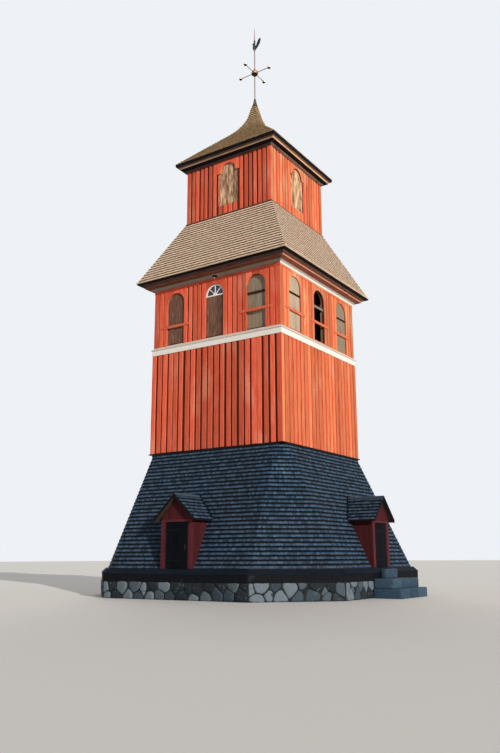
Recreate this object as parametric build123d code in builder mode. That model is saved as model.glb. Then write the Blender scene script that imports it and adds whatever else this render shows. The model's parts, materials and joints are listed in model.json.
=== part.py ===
from build123d import *
import math
import os

# A free-standing wooden bell tower on a fieldstone base. Millimetres, +Z up.
# The origin is on the tower's axis at ground level. The front face looks along -Y.

# Stone base, sill and the sole boards that shed water
plinth_height = 730
plinth_margin = 290
sill_height = 310
sill_margin = 30
sill_depth = 580
sole_height = 200
sole_ledge = 140
sole_drip = 200

# Shingled skirt: an eight-sided pyramid on four long sides and four corner facets
skirt_foot_half = 6360
skirt_foot_corner = 2650
skirt_head_half = 3812
skirt_head_corner = 300
skirt_rise = 5350
skirt_depth = 160

# Door houses in the front and right sides, a little to the right of the middle of each
door_offsets = {"front": 150, "right": 80}
porch_half = 820
post_width = 245
cheek_thickness = 80
door_height = 1940
gable_thickness = 160
porch_ridge_rise = 3105
porch_eaves_rise = 2080
porch_eaves_half = 1055
porch_overhang = 220
porch_roof_thickness = 60
ridge_joint = 2

# Door leaves and their hinges
door_thickness = 45
door_side_gap = 8
door_foot_gap = 20
door_head_gap = 10
hinge_offset = 20
knuckle_radius = 14
knuckle_bore = 9
pin_radius = 8
pin_past_knuckle = 5
knuckle_height = 60
strap_length = 760
strap_height = 50
strap_thickness = 12
hinge_inset = 330
bracket_length = 50
bracket_height = 20
bracket_front = 10
bearing_gap = 0.3

# Stone steps at the right door, from the top down: how far each slab reaches from the sill
step_reaches = (300, 970, 1320)
step_half_widths = (650, 1400, 1500)
step_below_floor = 40

# Lower walls of upright boards
skirt_ledge = 50
lower_height = 5020
wall_thickness = 160
skirting_height = 50
skirting_projection = 90

# Belfry storey with three arched windows in each face
belfry_floor_thickness = 120
cornice_height = 270
cornice_projection = 60
drip_height = 170
drip_projection = 100
belfry_setback = 40
belfry_height = 3730
window_spacing = 2400
window_width = 1080
window_sill_height = 370
window_straight_height = 2100
shutter_gap = 3
shutter_recess = 60
deep_shutter_recess = 120
shutter_thickness = 40
rail_length = 1800
rail_height = 130
rail_thickness = 60
rail_rise = 900

# Fanlight over the middle front window
fanlight_frame_width = 65
fanlight_bar = 30
fanlight_hub = 110
fanlight_thickness = 40
fanlight_recess = 30
glass_thickness = 6
fanlight_spokes = 3

# Boxed eaves of the middle roof, as three boards that rise outwards
soffit_drop = 380
soffit_width = 198
fascia_drop = 295
fascia_width = 230
edge_drop = 173
edge_width = 270
edge_rim = 30
board_joint = 2

# Middle roof
mid_roof_head_lap = 45
mid_roof_rise = 3470
mid_roof_depth = 205
lantern_floor_thickness = 115

# Lantern storey with one window in each face
lantern_half = 2615
lantern_height = 3755
lantern_window_width = 1260
lantern_sill_height = 855
lantern_straight_height = 1840
lantern_arch_radius = 500
lantern_soffit_drop = 410
lantern_eaves_width = 485
lantern_eaves_edge = 50

# Top roof: straight slopes that sweep up into a slender neck
top_roof_break_half = 1110
top_roof_break_rise = 2080
sweep_middle_half = 560
sweep_middle_rise = 2770
sweep_head_half = 280
sweep_head_rise = 3370
neck_half = 100
neck_rise = 4180
top_roof_depth = 170
attic_half = 420

# Metal cap and wrought iron finial
cap_foot_radius = 142
cap_head_radius = 48
cap_height = 410
rod_radius = 35
rod_tip_radius = 12
rod_height = 4660
finial_height = 1730
ball_radius = 190
arm_length = 970
arm_radius = 22
small_ball_radius = 94

# Weathercock that turns on the rod
vane_height = 3240
vane_collar_radius = 60
vane_collar_height = 30
sleeve_radius = 50
sleeve_gap = 1
sleeve_height = 620
vane_thickness = 10
cock_length = 300

# Levels and outlines that follow from the sizes above
octagon_mitre = math.tan(math.radians(22.5))
square_mitre = 1.0
skirt_foot_side = skirt_foot_half - skirt_foot_corner
skirt_head_side = skirt_head_half - skirt_head_corner
plinth_half = skirt_foot_half + plinth_margin
plinth_side = skirt_foot_side + plinth_margin * octagon_mitre
sill_half = plinth_half + sill_margin
sill_side = plinth_side + sill_margin * octagon_mitre
sill_level = plinth_height
sole_level = sill_level + sill_height
floor_level = sole_level + sole_height
skirt_head_level = floor_level + skirt_rise
skirt_lean = (skirt_foot_half - skirt_head_half) / skirt_rise
lower_half = skirt_head_half - skirt_ledge
lower_top = skirt_head_level + lower_height
belfry_half = lower_half - belfry_setback
belfry_level = lower_top + belfry_floor_thickness
belfry_top = belfry_level + belfry_height
cornice_top = lower_top + cornice_height
window_sill = belfry_level + window_sill_height
window_springing = window_sill + window_straight_height
rail_level = window_sill + rail_rise
soffit_half = belfry_half + soffit_width
fascia_half = soffit_half + fascia_width
edge_half = fascia_half + edge_width
porch_front = skirt_foot_half + sole_ledge
sole_tip_half = porch_front + sole_drip
door_half = porch_half - post_width
lintel_level = floor_level + door_height
porch_slope = (porch_ridge_rise - porch_eaves_rise) / porch_eaves_half
porch_roof_drop = porch_roof_thickness * math.sqrt(1 + porch_slope**2)
porch_ridge_level = floor_level + porch_ridge_rise
skirt_door_head = porch_ridge_level - porch_slope * porch_half
mid_roof_foot_half = edge_half
mid_roof_head_half = lantern_half + mid_roof_head_lap
mid_roof_level = belfry_top
mid_roof_top = mid_roof_level + mid_roof_rise
mid_roof_lean = (mid_roof_foot_half - mid_roof_head_half) / mid_roof_rise
lantern_floor_top = mid_roof_level + (mid_roof_foot_half - mid_roof_depth - lantern_half) / mid_roof_lean
lantern_top = lantern_floor_top + lantern_height
lantern_window_sill = lantern_floor_top + lantern_sill_height
lantern_window_springing = lantern_window_sill + lantern_straight_height
lantern_eaves_half = lantern_half + lantern_eaves_width
cap_level = lantern_top + neck_rise
rod_level = cap_level + cap_height
cross_level = rod_level + finial_height
vane_level = rod_level + vane_height
sides = {"front": 0, "right": 90, "back": 180, "left": 270}

os.makedirs("parts", exist_ok=True)


def save(part, name):
    """Label a finished piece and write it under its node's name."""
    part.label = name
    export_step(part, f"parts/{name}.step")


def level_plane(angle, level, middle=0):
    """A level plane whose local -Y points at the side at this angle, moved along it to a middle."""
    turn = math.radians(angle)
    along = (math.cos(turn), math.sin(turn), 0)
    return Plane(origin=(middle * along[0], middle * along[1], level), x_dir=along, z_dir=(0, 0, 1))


def face_plane(angle, distance, middle=0):
    """An upright plane this far from the axis, X along the side from a middle, Y up, facing out."""
    turn = math.radians(angle)
    along = (math.cos(turn), math.sin(turn), 0)
    outward = (math.sin(turn), -math.cos(turn), 0)
    origin = tuple(distance * outward[i] + middle * along[i] for i in range(3))
    return Plane(origin=origin, x_dir=along, z_dir=outward)


def section_plane(angle):
    """An upright plane through the axis, X outwards from it, Y up."""
    turn = math.radians(angle)
    outward = (math.sin(turn), -math.cos(turn), 0)
    normal = (-math.cos(turn), -math.sin(turn), 0)
    return Plane(origin=(0, 0, 0), x_dir=outward, z_dir=normal)


def skirt_plane(angle, depth):
    """The skirt's sloping surface on one side, or a plane this far inside it on the level."""
    turn = math.radians(angle)
    outward = (math.sin(turn), -math.cos(turn))
    distance = skirt_foot_half - depth
    origin = (distance * outward[0], distance * outward[1], floor_level)
    return Plane(origin=origin, x_dir=(math.cos(turn), math.sin(turn), 0),
                 z_dir=(outward[0], outward[1], skirt_lean))


def side_outline(half, side, depth, mitre, joint):
    """Plan of one side of a ring: outer edge, inner edge and mitred ends."""
    inner = side - depth * mitre
    return [(joint - side, -half), (side - joint, -half),
            (inner - joint, depth - half), (joint - inner, depth - half)]


def sloping_side(angle, low, low_plan, high, high_plan):
    """One side of a ring whose plan changes evenly from one level to another."""
    with BuildPart() as panel:
        for level, plan in ((low, low_plan), (high, high_plan)):
            with BuildSketch(level_plane(angle, level)):
                with BuildLine():
                    Polyline(*plan, close=True)
                make_face()
        loft(ruled=True)
    return panel.part


def eave_board(angle, profile):
    """A board round one side with this section, mitred at both hips."""
    reach = max(point[0] for point in profile)
    with BuildPart() as board:
        with BuildSketch(section_plane(angle)):
            with BuildLine():
                Polyline(*profile, close=True)
            make_face()
        extrude(amount=reach, both=True)
        for hand in (-1, 1):
            turn = math.radians(angle)
            across = (hand * math.cos(turn), hand * math.sin(turn), 0)
            outward = (math.sin(turn), -math.cos(turn), 0)
            normal = tuple(across[i] - outward[i] for i in range(3))
            origin = tuple(-across[i] * board_joint / 2 for i in range(3))
            split(bisect_by=Plane(origin=origin, z_dir=normal), keep=Keep.BOTTOM)
    return board.part


def octagon_facets(half, side):
    """Distance and half length of the long sides and of the corner facets, with turns."""
    facet = (half + side) / math.sqrt(2)
    facet_side = (half - side) / math.sqrt(2)
    turns = [(angle, half, side) for angle in (0, 90, 180, 270)]
    return turns + [(angle + 45, facet, facet_side) for angle in (0, 90, 180, 270)]


def arch(width, sill, springing, trim=0):
    """A round-headed outline standing on its sill, trimmed at the sides and head."""
    Rectangle(width - 2 * trim, springing - sill, align=(Align.CENTER, Align.MIN))
    with Locations((0, springing - sill)):
        Circle(width / 2 - trim)


# Fieldstone base
with BuildPart() as stone_plinth:
    with BuildSketch():
        with BuildLine():
            h = plinth_half
            s = plinth_side
            Polyline((s, -h), (h, -s), (h, s), (s, h), (-s, h), (-h, s), (-h, -s), (-s, -h), close=True)
        make_face()
    extrude(amount=plinth_height)
save(stone_plinth.part, "stone_plinth")

# Tarred sill beams on the base
with BuildPart() as sill_beams:
    for turn, half, side in octagon_facets(sill_half, sill_side):
        plan = side_outline(half, side, sill_depth, octagon_mitre, board_joint / 2)
        add(sloping_side(turn, sill_level, plan, sole_level, plan))
save(sill_beams.part, "sill_beams")

# Sole boards over the sill: a level ledge for the skirt and door houses, then a slope to the drip
with BuildPart() as drip_boards:
    ledge_side = skirt_foot_side + sole_ledge * octagon_mitre
    ledge_depth = skirt_depth + sole_ledge
    facets_low = octagon_facets(sole_tip_half, ledge_side + sole_drip * octagon_mitre)
    facets_high = octagon_facets(porch_front, ledge_side)
    for (turn, half, side), (_, head_half, head_side) in zip(facets_low, facets_high):
        low_plan = side_outline(half, side, ledge_depth + sole_drip, octagon_mitre, board_joint / 2)
        high_plan = side_outline(head_half, head_side, ledge_depth, octagon_mitre, board_joint / 2)
        add(sloping_side(turn, sole_level, low_plan, floor_level, high_plan))
save(drip_boards.part, "drip_boards")

# Ground floor deck inside the sole boards
with BuildPart() as ground_floor:
    with BuildSketch(Plane.XY.offset(sole_level)):
        with BuildLine():
            h = skirt_foot_half - skirt_depth
            s = skirt_foot_side - skirt_depth * octagon_mitre
            Polyline((s, -h), (h, -s), (h, s), (s, h), (-s, h), (-h, s), (-h, -s), (-s, -h), close=True)
        make_face()
    extrude(amount=sole_height)
save(ground_floor.part, "ground_floor")

# Stone steps at the right door: slab on slab, the top one notched round the edge of the sole board
step_rise = (floor_level - step_below_floor) / len(step_reaches)
for number, (reach, half_width) in enumerate(zip(step_reaches, step_half_widths)):
    top = step_rise * (len(step_reaches) - number)
    bottom = top - step_rise
    far = sill_half + reach
    with BuildPart() as step:
        with BuildSketch(section_plane(sides["right"]).offset(-door_offsets["right"])):
            with BuildLine():
                if number == 0:
                    Polyline((sill_half, bottom), (far, bottom), (far, top), (sole_tip_half, top),
                             (sole_tip_half, sole_level), (sill_half, sole_level), close=True)
                else:
                    Polyline((sill_half, bottom), (far, bottom), (far, top), (sill_half, top), close=True)
            make_face()
        extrude(amount=half_width, both=True)
    save(step.part, f"door_step_{number + 1}")


def skirt_panel(angle):
    """A whole long side of the skirt."""
    low_plan = side_outline(skirt_foot_half, skirt_foot_side, skirt_depth, octagon_mitre, 0)
    high_plan = side_outline(skirt_head_half, skirt_head_side, skirt_depth, octagon_mitre, 0)
    return sloping_side(angle, floor_level, low_plan, skirt_head_level, high_plan)


# Skirt sides: split beside and over the doorway where a door house stands
for side_name in ("back", "left"):
    save(skirt_panel(sides[side_name]), f"skirt_{side_name}")

for side_name, middle in door_offsets.items():
    angle = sides[side_name]
    with BuildPart() as skirt_sides:
        add(skirt_panel(angle))
        with BuildSketch(face_plane(angle, 0)):
            with Locations((middle, floor_level)):
                Rectangle(2 * porch_half, skirt_rise, align=(Align.CENTER, Align.MIN))
        extrude(amount=skirt_foot_half, mode=Mode.SUBTRACT)
    save(skirt_sides.part, f"skirt_{side_name}_sides")
    with BuildPart() as skirt_over_door:
        add(skirt_panel(angle))
        with BuildSketch(face_plane(angle, 0)):
            with Locations((middle, skirt_door_head)):
                Rectangle(2 * porch_half, skirt_head_level - skirt_door_head,
                          align=(Align.CENTER, Align.MIN))
        extrude(amount=skirt_foot_half, mode=Mode.INTERSECT)
    save(skirt_over_door.part, f"skirt_{side_name}_over_door")

with BuildPart() as skirt_corners:
    feet = octagon_facets(skirt_foot_half, skirt_foot_side)[4:]
    heads = octagon_facets(skirt_head_half, skirt_head_side)[4:]
    for (turn, half, side), (_, head_half, head_side) in zip(feet, heads):
        low_plan = side_outline(half, side, skirt_depth, octagon_mitre, 0)
        high_plan = side_outline(head_half, head_side, skirt_depth, octagon_mitre, 0)
        add(sloping_side(turn, floor_level, low_plan, skirt_head_level, high_plan))
save(skirt_corners.part, "skirt_corners")


def porch_underside(x):
    """Height of the underside of a door house's roof, this far from its middle."""
    return porch_ridge_level - porch_roof_drop - porch_slope * x


def door_house(side_name, angle, middle):
    """Posts, gable, cheeks and roof of one door house."""
    with BuildPart() as posts:
        with BuildSketch(face_plane(angle, porch_front - gable_thickness, middle)):
            for hand in (-1, 1):
                with Locations((hand * (door_half + post_width / 2), floor_level)):
                    Rectangle(post_width, door_height, align=(Align.CENTER, Align.MIN))
        extrude(amount=gable_thickness)
    save(posts.part, f"{side_name}_porch_posts")

    with BuildPart() as gable:
        with BuildSketch(face_plane(angle, porch_front - gable_thickness, middle)):
            with BuildLine():
                Polyline((-porch_half, lintel_level), (porch_half, lintel_level),
                         (porch_half, porch_underside(porch_half)), (0, porch_underside(0)),
                         (-porch_half, porch_underside(porch_half)), close=True)
            make_face()
        extrude(amount=gable_thickness)
    save(gable.part, f"{side_name}_porch_gable")

    with BuildPart() as cheeks:
        inner = porch_half - cheek_thickness
        for hand in (-1, 1):
            with BuildSketch(face_plane(angle, porch_front - gable_thickness, middle)):
                with BuildLine():
                    Polyline((hand * inner, floor_level), (hand * porch_half, floor_level),
                             (hand * porch_half, porch_underside(porch_half)),
                             (hand * inner, porch_underside(inner)), close=True)
                make_face()
            extrude(amount=-porch_front / 2)
        split(bisect_by=skirt_plane(angle, skirt_depth), keep=Keep.TOP)
    save(cheeks.part, f"{side_name}_porch_cheeks")

    with BuildPart() as roof:
        eaves = porch_ridge_level - porch_slope * porch_eaves_half
        for hand in (-1, 1):
            with BuildSketch(face_plane(angle, porch_front + porch_overhang, middle)):
                with BuildLine():
                    Polyline((hand * ridge_joint / 2, porch_ridge_level), (hand * porch_eaves_half, eaves),
                             (hand * porch_eaves_half, eaves - porch_roof_drop),
                             (hand * ridge_joint / 2, porch_underside(0)), close=True)
                make_face()
            extrude(amount=-porch_front / 2)
        split(bisect_by=skirt_plane(angle, 0), keep=Keep.TOP)
    save(roof.part, f"{side_name}_porch_roof")


def door_leaf(angle, middle):
    """A door leaf with two strap hinges, whose knuckles stand on the pintles."""
    foot = floor_level + door_foot_gap
    head = lintel_level - door_head_gap
    with BuildPart() as leaf:
        with BuildSketch(face_plane(angle, porch_front - door_thickness, middle)):
            with Locations((0, foot)):
                Rectangle(2 * (door_half - door_side_gap), head - foot, align=(Align.CENTER, Align.MIN))
        extrude(amount=door_thickness)
        for level in (foot + hinge_inset, head - hinge_inset):
            with BuildSketch(face_plane(angle, porch_front, middle)):
                with Locations((door_side_gap - door_half, level)):
                    Rectangle(strap_length, strap_height, align=(Align.MIN, Align.CENTER))
            extrude(amount=strap_thickness)
            with BuildSketch(level_plane(angle, level - knuckle_height / 2, middle)):
                with Locations((-door_half, -porch_front - hinge_offset)):
                    Circle(knuckle_radius)
            extrude(amount=knuckle_height)
            with BuildSketch(level_plane(angle, level - knuckle_height / 2, middle)):
                with Locations((-door_half, -porch_front - hinge_offset)):
                    Circle(knuckle_bore)
            extrude(amount=knuckle_height, mode=Mode.SUBTRACT)
    return leaf.part


for side_name, middle in door_offsets.items():
    door_house(side_name, sides[side_name], middle)
    save(door_leaf(sides[side_name], middle), f"{side_name}_door")

# Pintles: a bracket on the post with a boss and a pin for each knuckle
with BuildPart() as door_pintles:
    foot = floor_level + door_foot_gap
    head = lintel_level - door_head_gap
    for side_name, middle in door_offsets.items():
        angle = sides[side_name]
        for level in (foot + hinge_inset, head - hinge_inset):
            seat = level - knuckle_height / 2 - bearing_gap
            with BuildSketch(level_plane(angle, seat - bracket_height, middle)):
                with Locations((-door_half, -porch_front)):
                    Rectangle(bracket_length, hinge_offset + bracket_front, align=(Align.MAX, Align.MAX))
                with Locations((-door_half, -porch_front - hinge_offset)):
                    Circle(knuckle_radius)
            extrude(amount=bracket_height)
            with BuildSketch(level_plane(angle, seat, middle)):
                with Locations((-door_half, -porch_front - hinge_offset)):
                    Circle(pin_radius)
            extrude(amount=knuckle_height + pin_past_knuckle)
save(door_pintles.part, "door_pintles")


def square_walls(half, low, high, joint):
    """Four walls of a square storey: front and back run through, the others fit between."""
    walls = {}
    for side_name, angle in sides.items():
        length = half if angle in (0, 180) else half - wall_thickness - joint
        with BuildPart() as wall:
            with BuildSketch(face_plane(angle, half - wall_thickness)):
                with Locations((0, low)):
                    Rectangle(2 * length, high - low, align=(Align.CENTER, Align.MIN))
            extrude(amount=wall_thickness)
        walls[side_name] = wall.part
    return walls


# Lower walls on the skirt's head, with a skirting board round their foot
for side_name, wall in square_walls(lower_half, skirt_head_level, lower_top, 0).items():
    save(wall, f"lower_wall_{side_name}")

with BuildPart() as lower_skirting:
    for angle in sides.values():
        outer = lower_half + skirting_projection
        plan = side_outline(outer, outer, skirting_projection, square_mitre, board_joint / 2)
        add(sloping_side(angle, skirt_head_level, plan, skirt_head_level + skirting_height, plan))
save(lower_skirting.part, "lower_skirting")

# Belfry floor on the lower walls, with the white cornice round its edge
with BuildPart() as belfry_floor:
    with BuildSketch(Plane.XY.offset(lower_top)):
        Rectangle(2 * lower_half, 2 * lower_half)
    extrude(amount=belfry_floor_thickness)
save(belfry_floor.part, "belfry_floor")

with BuildPart() as white_cornice:
    for angle in sides.values():
        outer = lower_half + cornice_projection
        plan = side_outline(outer, outer, cornice_projection, square_mitre, board_joint / 2)
        add(sloping_side(angle, lower_top, plan, cornice_top, plan))
save(white_cornice.part, "white_cornice")

with BuildPart() as belfry_drip_boards:
    for angle in sides.values():
        outer = lower_half + drip_projection
        thin = board_joint
        add(eave_board(angle, [(belfry_half, cornice_top), (outer, cornice_top), (outer, cornice_top + 20),
                               (belfry_half + thin, cornice_top + drip_height),
                               (belfry_half, cornice_top + drip_height)]))
save(belfry_drip_boards.part, "belfry_drip_boards")

# Belfry walls with three arched windows in each
window_places = [(-window_spacing, window_sill), (0, window_sill), (window_spacing, window_sill)]
for side_name, wall in square_walls(belfry_half, belfry_level, belfry_top, 0).items():
    with BuildPart() as belfry_wall:
        add(wall)
        with BuildSketch(face_plane(sides[side_name], belfry_half)):
            for place in window_places:
                with Locations(place):
                    arch(window_width, window_sill, window_springing)
        extrude(amount=-wall_thickness, mode=Mode.SUBTRACT)
    save(belfry_wall.part, f"belfry_wall_{side_name}")

# Closed board shutters: the middle window on the right stands open, a fanlight tops the front middle one
fanlight_foot = window_springing - fanlight_frame_width
closed_windows = {"front": (-1,), "right": (-1, 1), "back": (-1, 0, 1), "left": (-1, 0, 1)}
with BuildPart() as belfry_shutters:
    for side_name, numbers in closed_windows.items():
        with BuildSketch(face_plane(sides[side_name], belfry_half - shutter_recess)):
            for number in numbers:
                with Locations((number * window_spacing, window_sill)):
                    arch(window_width, window_sill, window_springing, shutter_gap)
        extrude(amount=-shutter_thickness)
    with BuildSketch(face_plane(sides["front"], belfry_half - shutter_recess)):
        with Locations((0, window_sill)):
            Rectangle(window_width - 2 * shutter_gap, fanlight_foot - window_sill,
                      align=(Align.CENTER, Align.MIN))
    extrude(amount=-shutter_thickness)
    with BuildSketch(face_plane(sides["front"], belfry_half - deep_shutter_recess)):
        with Locations((window_spacing, window_sill)):
            arch(window_width, window_sill, window_springing, shutter_gap)
    extrude(amount=-shutter_thickness)
save(belfry_shutters.part, "belfry_shutters")

# Open shutters: a pair folded back inside the right wall
leaf_width = window_width / 2 - shutter_gap
leaf_height = window_springing - window_sill
with BuildPart() as open_shutters:
    for hand in (-1, 1):
        with BuildSketch(level_plane(sides["right"], window_sill)):
            with Locations((hand * (window_width + leaf_width) / 2, wall_thickness - belfry_half)):
                Rectangle(leaf_width, shutter_thickness, align=(Align.CENTER, Align.MIN))
        extrude(amount=leaf_height)
save(open_shutters.part, "open_shutters")

# Half-round fanlight: rim, foot rail, hub and spokes with glass behind
fanlight_radius = window_width / 2 - shutter_gap
with BuildPart() as fanlight_frame:
    with BuildSketch(face_plane(0, belfry_half - fanlight_recess)):
        with Locations((0, window_springing)):
            Circle(fanlight_radius)
            Circle(fanlight_radius - fanlight_frame_width, mode=Mode.SUBTRACT)
            Circle(fanlight_hub)
        for number in range(1, fanlight_spokes + 1):
            turn = 180 * number / (fanlight_spokes + 1)
            with Locations(Location((0, window_springing), turn)):
                Rectangle(fanlight_radius - fanlight_frame_width / 2, fanlight_bar,
                          align=(Align.MIN, Align.CENTER))
        with Locations((0, window_springing)):
            Rectangle(window_width, window_width, align=(Align.CENTER, Align.MAX), mode=Mode.SUBTRACT)
            Rectangle(2 * fanlight_radius, fanlight_frame_width, align=(Align.CENTER, Align.MAX))
    extrude(amount=-fanlight_thickness)
save(fanlight_frame.part, "fanlight_frame")

with BuildPart() as fanlight_glass:
    with BuildSketch(face_plane(0, belfry_half - fanlight_recess - fanlight_thickness)):
        with Locations((0, window_springing)):
            Circle(fanlight_radius)
            Rectangle(window_width, window_width, align=(Align.CENTER, Align.MAX), mode=Mode.SUBTRACT)
    extrude(amount=-glass_thickness)
save(fanlight_glass.part, "fanlight_glass")

# Red rails across the windows
rail_places = {"front": (-1, 1), "right": (-1, 0, 1), "back": (-1, 0, 1), "left": (-1, 0, 1)}
with BuildPart() as window_rails:
    for side_name, numbers in rail_places.items():
        with BuildSketch(face_plane(sides[side_name], belfry_half)):
            with Locations(*[(number * window_spacing, rail_level) for number in numbers]):
                Rectangle(rail_length, rail_height)
        extrude(amount=rail_thickness)
save(window_rails.part, "window_rails")

# Boxed eaves of the middle roof: white soffit, red board and dark edge board
eaves = {
    "eaves_soffit": [(belfry_half, belfry_top - soffit_drop), (soffit_half, belfry_top - fascia_drop),
                     (soffit_half, belfry_top), (belfry_half, belfry_top)],
    "eaves_board": [(soffit_half, belfry_top - fascia_drop), (fascia_half, belfry_top - edge_drop),
                    (fascia_half, belfry_top), (soffit_half, belfry_top)],
    "eaves_edge": [(fascia_half, belfry_top - edge_drop), (edge_half, belfry_top - edge_rim),
                   (edge_half, belfry_top), (fascia_half, belfry_top)],
}
for name, profile in eaves.items():
    with BuildPart() as eaves_ring:
        for angle in sides.values():
            add(eave_board(angle, profile))
    save(eaves_ring.part, name)

# Middle roof: four sloping panels that stand on the boxed eaves
with BuildPart() as mid_roof:
    inner_foot = mid_roof_foot_half - mid_roof_depth
    for angle in sides.values():
        add(eave_board(angle, [(mid_roof_foot_half, mid_roof_level), (mid_roof_head_half, mid_roof_top),
                               (lantern_half, mid_roof_top), (lantern_half, lantern_floor_top),
                               (inner_foot, mid_roof_level)]))
save(mid_roof.part, "mid_roof")

# Lantern floor, wedged between the roof's inner faces
with BuildPart() as lantern_floor:
    floor_foot_half = lantern_half + lantern_floor_thickness * mid_roof_lean
    with BuildSketch(Plane.XY.offset(lantern_floor_top - lantern_floor_thickness)):
        Rectangle(2 * floor_foot_half, 2 * floor_foot_half)
    with BuildSketch(Plane.XY.offset(lantern_floor_top)):
        Rectangle(2 * lantern_half, 2 * lantern_half)
    loft(ruled=True)
save(lantern_floor.part, "lantern_floor")


def lantern_window(trim=0):
    """Square-shouldered opening with a narrower round head."""
    tall = lantern_window_springing - lantern_window_sill
    with Locations((0, lantern_window_sill)):
        Rectangle(lantern_window_width - 2 * trim, tall - trim, align=(Align.CENTER, Align.MIN))
    with Locations((0, lantern_window_springing)):
        Circle(lantern_arch_radius - trim)


# Lantern walls and their shutters
with BuildPart() as lantern_walls:
    for side_name, wall in square_walls(lantern_half, lantern_floor_top, lantern_top, board_joint).items():
        add(wall)
        with BuildSketch(face_plane(sides[side_name], lantern_half)):
            lantern_window()
        extrude(amount=-wall_thickness, mode=Mode.SUBTRACT)
save(lantern_walls.part, "lantern_walls")

with BuildPart() as lantern_shutters:
    for angle in sides.values():
        with BuildSketch(face_plane(angle, lantern_half - shutter_recess)):
            lantern_window(shutter_gap)
        extrude(amount=-shutter_thickness)
save(lantern_shutters.part, "lantern_shutters")

# Dark cornice under the top roof
with BuildPart() as lantern_cornice:
    for angle in sides.values():
        add(eave_board(angle, [(lantern_half, lantern_top - lantern_soffit_drop),
                               (lantern_eaves_half, lantern_top - lantern_eaves_edge),
                               (lantern_eaves_half, lantern_top), (lantern_half, lantern_top)]))
save(lantern_cornice.part, "lantern_cornice")


def swept_roof():
    """A square roof whose four slopes follow the same straight and swept profile."""
    with BuildPart() as shape:
        for plane, mode in ((Plane.XZ, Mode.ADD), (Plane.YZ, Mode.INTERSECT)):
            with BuildSketch(plane):
                with BuildLine():
                    for hand in (-1, 1):
                        Line((hand * lantern_eaves_half, lantern_top),
                             (hand * top_roof_break_half, lantern_top + top_roof_break_rise))
                        ThreePointArc((hand * top_roof_break_half, lantern_top + top_roof_break_rise),
                                      (hand * sweep_middle_half, lantern_top + sweep_middle_rise),
                                      (hand * sweep_head_half, lantern_top + sweep_head_rise))
                        Line((hand * sweep_head_half, lantern_top + sweep_head_rise),
                             (hand * neck_half, cap_level))
                    Line((-neck_half, cap_level), (neck_half, cap_level))
                    Line((-lantern_eaves_half, lantern_top), (lantern_eaves_half, lantern_top))
                make_face()
            extrude(amount=lantern_eaves_half, both=True, mode=mode)
    return shape.part


def attic():
    """The hollow under the top roof's slopes."""
    slope = top_roof_break_rise / (lantern_eaves_half - top_roof_break_half)
    foot_half = lantern_eaves_half - top_roof_depth
    knee_half = attic_half
    knee_level = lantern_top + slope * (foot_half - knee_half)
    with BuildPart() as shape:
        with BuildSketch(Plane.XY.offset(lantern_top)):
            Rectangle(2 * foot_half, 2 * foot_half)
        with BuildSketch(Plane.XY.offset(knee_level)):
            Rectangle(2 * knee_half, 2 * knee_half)
        loft(ruled=True)
    return shape.part


with BuildPart() as top_roof:
    add(swept_roof())
    add(attic(), mode=Mode.SUBTRACT)
save(top_roof.part, "top_roof")

# Metal cap over the neck
with BuildPart() as spire_cap:
    with BuildSketch(Plane.XY.offset(cap_level)):
        Circle(cap_foot_radius)
    with BuildSketch(Plane.XY.offset(rod_level)):
        Circle(cap_head_radius)
    loft(ruled=True)
save(spire_cap.part, "spire_cap")

# Finial: tapered rod, great ball and two crossed arms with small balls
with BuildPart() as finial:
    with BuildSketch(Plane.XY.offset(rod_level)):
        Circle(rod_radius)
    extrude(amount=vane_height + sleeve_height + vane_collar_height)
    with BuildSketch(Plane.XY.offset(vane_level + sleeve_height + vane_collar_height)):
        Circle(rod_radius)
    with BuildSketch(Plane.XY.offset(rod_level + rod_height)):
        Circle(rod_tip_radius)
    loft(ruled=True)
    with Locations((0, 0, cross_level)):
        Sphere(ball_radius)
    for plane in (Plane.YZ, Plane.XZ):
        with BuildSketch(plane):
            with Locations((0, cross_level)):
                Circle(arm_radius)
        extrude(amount=arm_length, both=True)
    with Locations((0, 0, cross_level)):
        with PolarLocations(arm_length, 4):
            Sphere(small_ball_radius)
    with BuildSketch(Plane.XY.offset(vane_level - bearing_gap - vane_collar_height)):
        Circle(vane_collar_radius)
    extrude(amount=vane_collar_height)
save(finial.part, "finial")

# Weathercock: flat sheet bird on a sleeve that turns on the rod
with BuildPart() as weathercock:
    c = cock_length
    base = vane_level + 0.55 * c
    with BuildSketch(Plane.XZ.offset(-vane_thickness / 2)):
        with BuildLine():
            Spline((-0.2 * c, base - 0.5 * c), (-0.42 * c, base - 0.1 * c), (-0.4 * c, base + 0.45 * c),
                   (-0.42 * c, base + 0.85 * c))
            Line((-0.42 * c, base + 0.85 * c), (-0.65 * c, base + 0.8 * c))
            Line((-0.65 * c, base + 0.8 * c), (-0.45 * c, base + 1.02 * c))
            Spline((-0.45 * c, base + 1.02 * c), (-0.26 * c, base + 1.1 * c), (-0.1 * c, base + 0.65 * c),
                   (0.2 * c, base + 0.4 * c), (0.5 * c, base + 0.8 * c), (0.85 * c, base + 1.5 * c))
            Spline((0.85 * c, base + 1.5 * c), (1.3 * c, base + 1.7 * c), (1.35 * c, base + 1.15 * c),
                   (0.85 * c, base + 0.1 * c), (0.25 * c, base - 0.5 * c))
            Line((0.25 * c, base - 0.5 * c), (-0.2 * c, base - 0.5 * c))
        make_face()
    extrude(amount=-vane_thickness)
    with BuildSketch(Plane.XY.offset(vane_level)):
        Circle(sleeve_radius)
    extrude(amount=sleeve_height)
    with BuildSketch(Plane.XY.offset(vane_level - sleeve_height)):
        Circle(rod_radius + sleeve_gap)
    extrude(amount=4 * sleeve_height, mode=Mode.SUBTRACT)
save(weathercock.part, "weathercock")
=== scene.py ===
import json
import math

import bpy
import numpy as np
from mathutils import Matrix

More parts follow.
